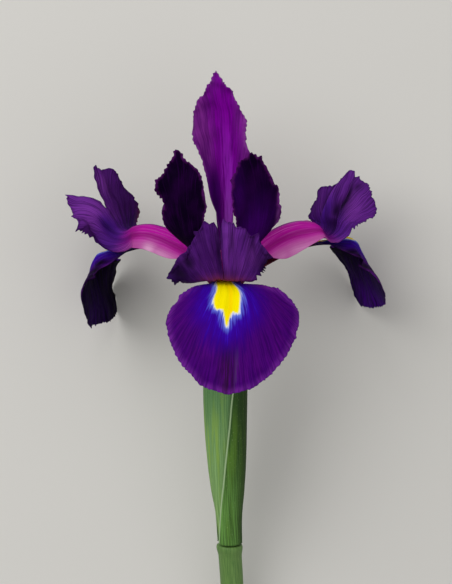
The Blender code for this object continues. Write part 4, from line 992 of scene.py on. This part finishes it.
def makeStem(finish):
    end, radius, shoulder = stalk["end"], stalk["radius"], stalk["shoulder"]
    waisted = [(up, radius - 0.1 * math.sin(math.pi * (up + 117) / 37))
               for up in np.linspace(end + 1, shoulder, 60)]
    rings = [(end, 2.2), (end, 3.1), (end + 0.1, 3.5), (end + 0.5, radius)] + waisted + stalk["nodeRings"]
    rings += [(up, stalk["pedicel"]) for up in np.linspace(-77, stalk["ovaryBase"] - 0.35, 60)]

    def ribs(up, turns):
        return -0.012 * (0.5 + 0.5 * np.cos(11 * turns)) if up < shoulder else 0 * turns

    ringedPiece("stem", rings, 64, finish, ribs)


def makeOvary(finish):
    ups = np.linspace(stalk["ovaryBase"], 0, 70)
    rings = list(zip(ups, alongPairs(stalk["ovary"], ups)))
    ringedPiece("ovary", rings, 72, finish,
                lambda up, turns: 0.06 * np.cos(3 * turns) - 0.01 * (1 + np.cos(6 * turns)))


def makeColumn(finish):
    ups = np.linspace(stalk["column"][0][0], stalk["column"][-1][0], 30)
    rings = list(zip(ups, alongPairs(stalk["column"], ups)))
    ringedPiece("style_column", rings, 36, finish,
                lambda up, turns: 0.03 * np.cos(3 * turns) - 0.03)


stamens = {
    "rings": [(2.15, 0.35, 0.42, 0.42), (2.4, 2.6, 0.42, 0.42), (3.4, 5.4, 0.42, 0.42),
              (5.4, 8.2, 0.42, 0.42), (8.2, 10.9, 0.45, 0.42), (9.2, 11.6, 0.95, 0.6), (13, 13.7, 1.1, 0.7),
              (17, 15.2, 1.1, 0.7), (20.4, 15.9, 0.9, 0.6), (21.6, 16, 0.45, 0.4)],
    "turns": {"stamen_front": 0, "stamen_left": -113, "stamen_right": 113}, "groove": 0.28,
    "thread": shade(206, 186, 222), "pollen": (shade(238, 214, 140), shade(196, 150, 70)), "grains": 5200.0,
    "relief": 0.08,
}


def makeStamen(name, azimuth, finish):
    # a thin thread, then an anther of two pollen sacs with a groove between them
    sides, count = 28, 110
    r, up, wide, deep = throughPoints(stamens["rings"], np.linspace(0, 1, count)).T
    steps = np.stack([np.gradient(r), np.gradient(up)], -1)
    steps /= np.linalg.norm(steps, axis=1, keepdims=True)
    corners = np.arange(sides, 0, -1) * 2 * math.pi / sides
    anther = smoothStep(8.6, 9.4, r)[:, None]
    groove = 1 - stamens["groove"] * anther * np.cos(corners)[None] ** 8
    side, inward = wide[:, None] * np.sin(corners)[None], deep[:, None] * np.cos(corners)[None] * groove
    out = r[:, None] - steps[:, 1:] * inward
    points = around(azimuth, out, side, up[:, None] + steps[:, :1] * inward).reshape(-1, 3)
    ids = np.arange(count * sides).reshape(count, sides)
    nextIds = np.roll(ids, -1, axis=1)
    faces = np.stack([ids[:-1], nextIds[:-1], nextIds[1:], ids[1:]], -1).reshape(-1, 4).tolist()
    faces += [ids[0, ::-1].tolist(), ids[-1].tolist()]
    facts = {"anther": np.repeat(anther[:, 0], sides)}
    addPiece(name + "_piece", points, faces, facts, finish, name)


def stamenFinish():
    newMaterial("pollenAndThread", 0.75, 0.15)
    grains = addNode("ShaderNodeTexVoronoi", addNode("ShaderNodeTexCoord").outputs["Object"])
    grains.inputs["Scale"].default_value = stamens["grains"]
    gap, anther = grains.outputs["Distance"], fact("anther")
    pollen = mixed(rise(gap, 0.1, 0.6), *stamens["pollen"])
    return finished(mixed(anther, stamens["thread"], pollen), times(gap, anther), stamens["relief"])


# Spathe bracts.

spathe = {
    "base": -76.9,
    "radii": [(-76.9, 3.75), (-69, 4.15), (-59.5, 5.4), (-50, 6.2), (-40, 6.67), (-28, 6.93), (-18, 6.8),
              (-6, 5.6)],
    "flatness": [(-76.9, 1), (-60, 0.9), (-40, 0.82), (-6, 0.82)],
    "bracts": {
        "spathe_outer": {"inset": 0.0, "margins": [
            [(-76.9, -58), (-69, -36), (-59.5, -13), (-50, 0), (-40, 12), (-28, 23), (-17, 45), (-10, 70),
             (-5.5, 98)],
            [(-76.9, 250), (-60, 230), (-40, 210), (-28, 192), (-17, 160), (-10, 128), (-5.5, 98)]]},
        "spathe_inner": {"inset": 1.0, "margins": [
            [(-76.9, -200), (-60, -215), (-40, -205), (-28, -180), (-18, -145), (-10, -105), (-7, -82)],
            [(-76.9, 40), (-60, 52), (-40, 48), (-28, 36), (-18, -2), (-10, -50), (-7, -82)]]},
    },
    "thick": 0.5, "margin": 0.12, "columns": 120, "rows": 140, "ribHeight": 0.035, "ribGap": 1.3,
    "relief": 0.1, "through": 0.08,
}


def makeBract(name, bract, finish):
    margins, columns, rows = bract["margins"], spathe["columns"], spathe["rows"]
    up = spathe["base"] + (margins[0][-1][0] - spathe["base"]) * np.linspace(0, 1, rows)
    sides = [alongPairs(margin, up) for margin in margins]
    sides[1][-1] = sides[0][-1]
    turn = sides[0][:, None] + (sides[1] - sides[0])[:, None] * np.linspace(0, 1, columns)
    grid = np.stack([turn, np.repeat(up[:, None], columns, axis=1)], axis=-1)
    flat, _, triangles = joined([grid], [np.zeros(grid.shape[:2])])
    angle, up = np.radians(flat[:, 0]), flat[:, 1]
    radius = alongPairs(spathe["radii"], up)
    edge = marginDistance(np.stack([angle * radius, up], -1), triangles, spathe["base"] + 0.5)
    ribs = spathe["ribHeight"] * np.cos(angle * radius * 2 * math.pi / spathe["ribGap"])
    ribs = ribs * smoothStep(0.5, 2.5, edge)
    x = stemX(up) + (radius - bract["inset"] + ribs) * np.sin(angle)
    front = ((radius + ribs) * alongPairs(spathe["flatness"], up) - bract["inset"]) * np.cos(angle)
    body = spathe["margin"] + (spathe["thick"] - spathe["margin"]) * smoothStep(0, 2.5, edge)
    points, faces = shell(np.stack([x, front, up], -1), triangles, body / 2, body / 2)
    facts = twice({"edge": edge, "turn": angle, "along": up, "rib": angle * radius})
    addPiece(name + "_bract", points, faces, facts, finish, name)


bractColours = {
    "both": {"fleck": shade(150, 176, 120), "margin": shade(158, 184, 138), "tip": shade(170, 150, 110)},
    "spathe_outer": {"green": shade(58, 92, 38), "dark": shade(34, 60, 22), "yellow": shade(88, 126, 42),
                     "low": shade(116, 168, 80), "shade": shade(34, 52, 22), "shadeUnderFalls": shade(40, 74, 30)},
    "spathe_inner": {"green": shade(124, 164, 106), "dark": shade(74, 114, 60), "yellow": shade(138, 172, 72),
                     "low": shade(154, 190, 116), "shade": shade(78, 122, 74), "shadeUnderFalls": shade(62, 108, 66)},
}


def bractFinish(name):
    colours = {**bractColours["both"], **bractColours[name]}
    newMaterial(name + "Green", 0.6, 0.12)
    rib, along, edge = (fact(word) for word in ("rib", "along", "edge"))
    streak = noise(times(rib, 0.5), times(along, 0.045), 2.0)
    fine = noise(times(rib, 4.6), times(along, 0.05), 7.0, 3.0, 0.6)
    fleck = noise(times(rib, 3.0), times(along, 1.4), 5.0)
    blotch = times(rise(maths("ABSOLUTE", plus(along, 45)), 3, 13, 0.5, 0.0), rise(streak, 0.42, 0.6))
    body = layered(
        colours, colours["green"],
        (rise(along, -68, -36, 0.75, 0), "low"),
        (rise(fine, 0.38, 0.62, 0, 0.75), "dark"),
        (rise(streak, 0.48, 0.68, 0, 0.4), "yellow"),
        (blotch, "yellow"),
        # painted shade: the bracts darken towards their tops, where the falls shade them
        (rise(along, -44, -20, 0, 0.65), "shadeUnderFalls"),
        (rise(maths("SINE", fact("turn")), 0.35, 1, 0, 0.75), "shade"),
        (rise(fleck, 0.6, 0.78, 0, 0.4), "fleck"),
        (rise(edge, 0.3, 0.62, 1, 0), "margin"),
        (rise(along, -10, -6), "tip"))
    return finished(body, plus(times(fine, 0.7), times(fleck, 0.3)), spathe["relief"], spathe["through"])


# Floor, light and camera.

studio = {
    "floor": shade(206, 204, 199), "floorSide": 6.0, "sky": 0.4, "lightAim": (0, 0.01, 0.03),
    "lamps": {"keyLight": {"place": (-0.5, 0.45, 0.9), "size": 1.1, "power": 9.0},
              "fillLight": {"place": (0.6, -0.3, 0.9), "size": 1.4, "power": 2.4}},
    # the camera's tilt is above the flower's front, and its lens spans 175.2 at that distance
    "distance": 900.0, "tilt": 12, "aimAbove": 1.2, "sensor": 36, "lens": 36 * 900 / 175.2,
}


def makeFloor():
    half = studio["floorSide"] / 2
    mesh = bpy.data.meshes.new("floor")
    mesh.from_pydata([(-half, -half, 0), (half, -half, 0), (half, half, 0), (-half, half, 0)], [],
                     [(0, 1, 2, 3)])
    mesh.materials.append(newMaterial("paleFloor", 0.9, 0.1))
    making["shader"].inputs["Base Color"].default_value = studio["floor"]
    floor = bpy.data.objects.new("floor", mesh)
    bpy.context.collection.objects.link(floor)


def makeLight(name, settings):
    light = bpy.data.lights.new(name, "AREA")
    light.shape = "DISK"
    light.size = settings["size"]
    light.energy = settings["power"]
    lamp = bpy.data.objects.new(name, light)
    lamp.location = settings["place"]
    aim = Vector(studio["lightAim"]) - lamp.location
    lamp.rotation_euler = aim.to_track_quat("-Z", "Y").to_euler()
    bpy.context.collection.objects.link(lamp)


def makeCamera():
    # looks down on the lying flower, seen from its front and a little above
    tilt = math.radians(studio["tilt"])
    towards = turned([[0, math.cos(tilt), math.sin(tilt)]])[0]
    upward = turned([[0, -math.sin(tilt), math.cos(tilt)]])[0]
    aim = np.array(lying["centre"]) + upward * studio["aimAbove"]
    camera = bpy.data.objects.new("camera", bpy.data.cameras.new("camera"))
    camera.data.lens = studio["lens"]
    camera.data.sensor_width = studio["sensor"]
    camera.data.clip_start = 0.01
    camera.location = Vector((aim + towards * studio["distance"]) * mm)
    axes = Matrix([np.cross(upward, towards), upward, towards]).transposed()
    camera.rotation_mode = "QUATERNION"
    camera.rotation_quaternion = axes.to_quaternion()
    bpy.context.collection.objects.link(camera)
    bpy.context.scene.camera = camera


def makeStudio():
    makeCamera()
    makeFloor()
    for name, settings in studio["lamps"].items():
        makeLight(name, settings)
    world = bpy.data.worlds.new("softRoom")
    world.use_nodes = True
    background = world.node_tree.nodes["Background"]
    background.inputs["Color"].default_value = (1, 1, 1, 1)
    background.inputs["Strength"].default_value = studio["sky"]
    bpy.context.scene.world = world
    bpy.context.scene.view_settings.view_transform = "Standard"


def build():
    fallTissue = fallFinish()
    for name, shape in falls.items():
        bladedPetal(name, shape, fallTissue, fallLooks)
    frontTissue = standardFinish("standardFront")
    backTissue = standardFinish("standardBack")
    for name, shape in standards.items():
        bladedPetal(name, shape, backTissue if name == "standard_back" else frontTissue, standardLooks)
    armTissue = armFinish()
    for name, shape in arms.items():
        makeArm(name, shape, armTissue, armLooks)
    makeStem(greenFinish("stemGreen"))
    makeOvary(greenFinish("ovaryGreen"))
    makeColumn(greenFinish("columnTissue"))
    for name, bract in spathe["bracts"].items():
        makeBract(name, bract, bractFinish(name))
    pollen = stamenFinish()
    for name, azimuth in stamens["turns"].items():
        makeStamen(name, azimuth, pollen)
    makeStudio()
    print("flower and studio built")


build()
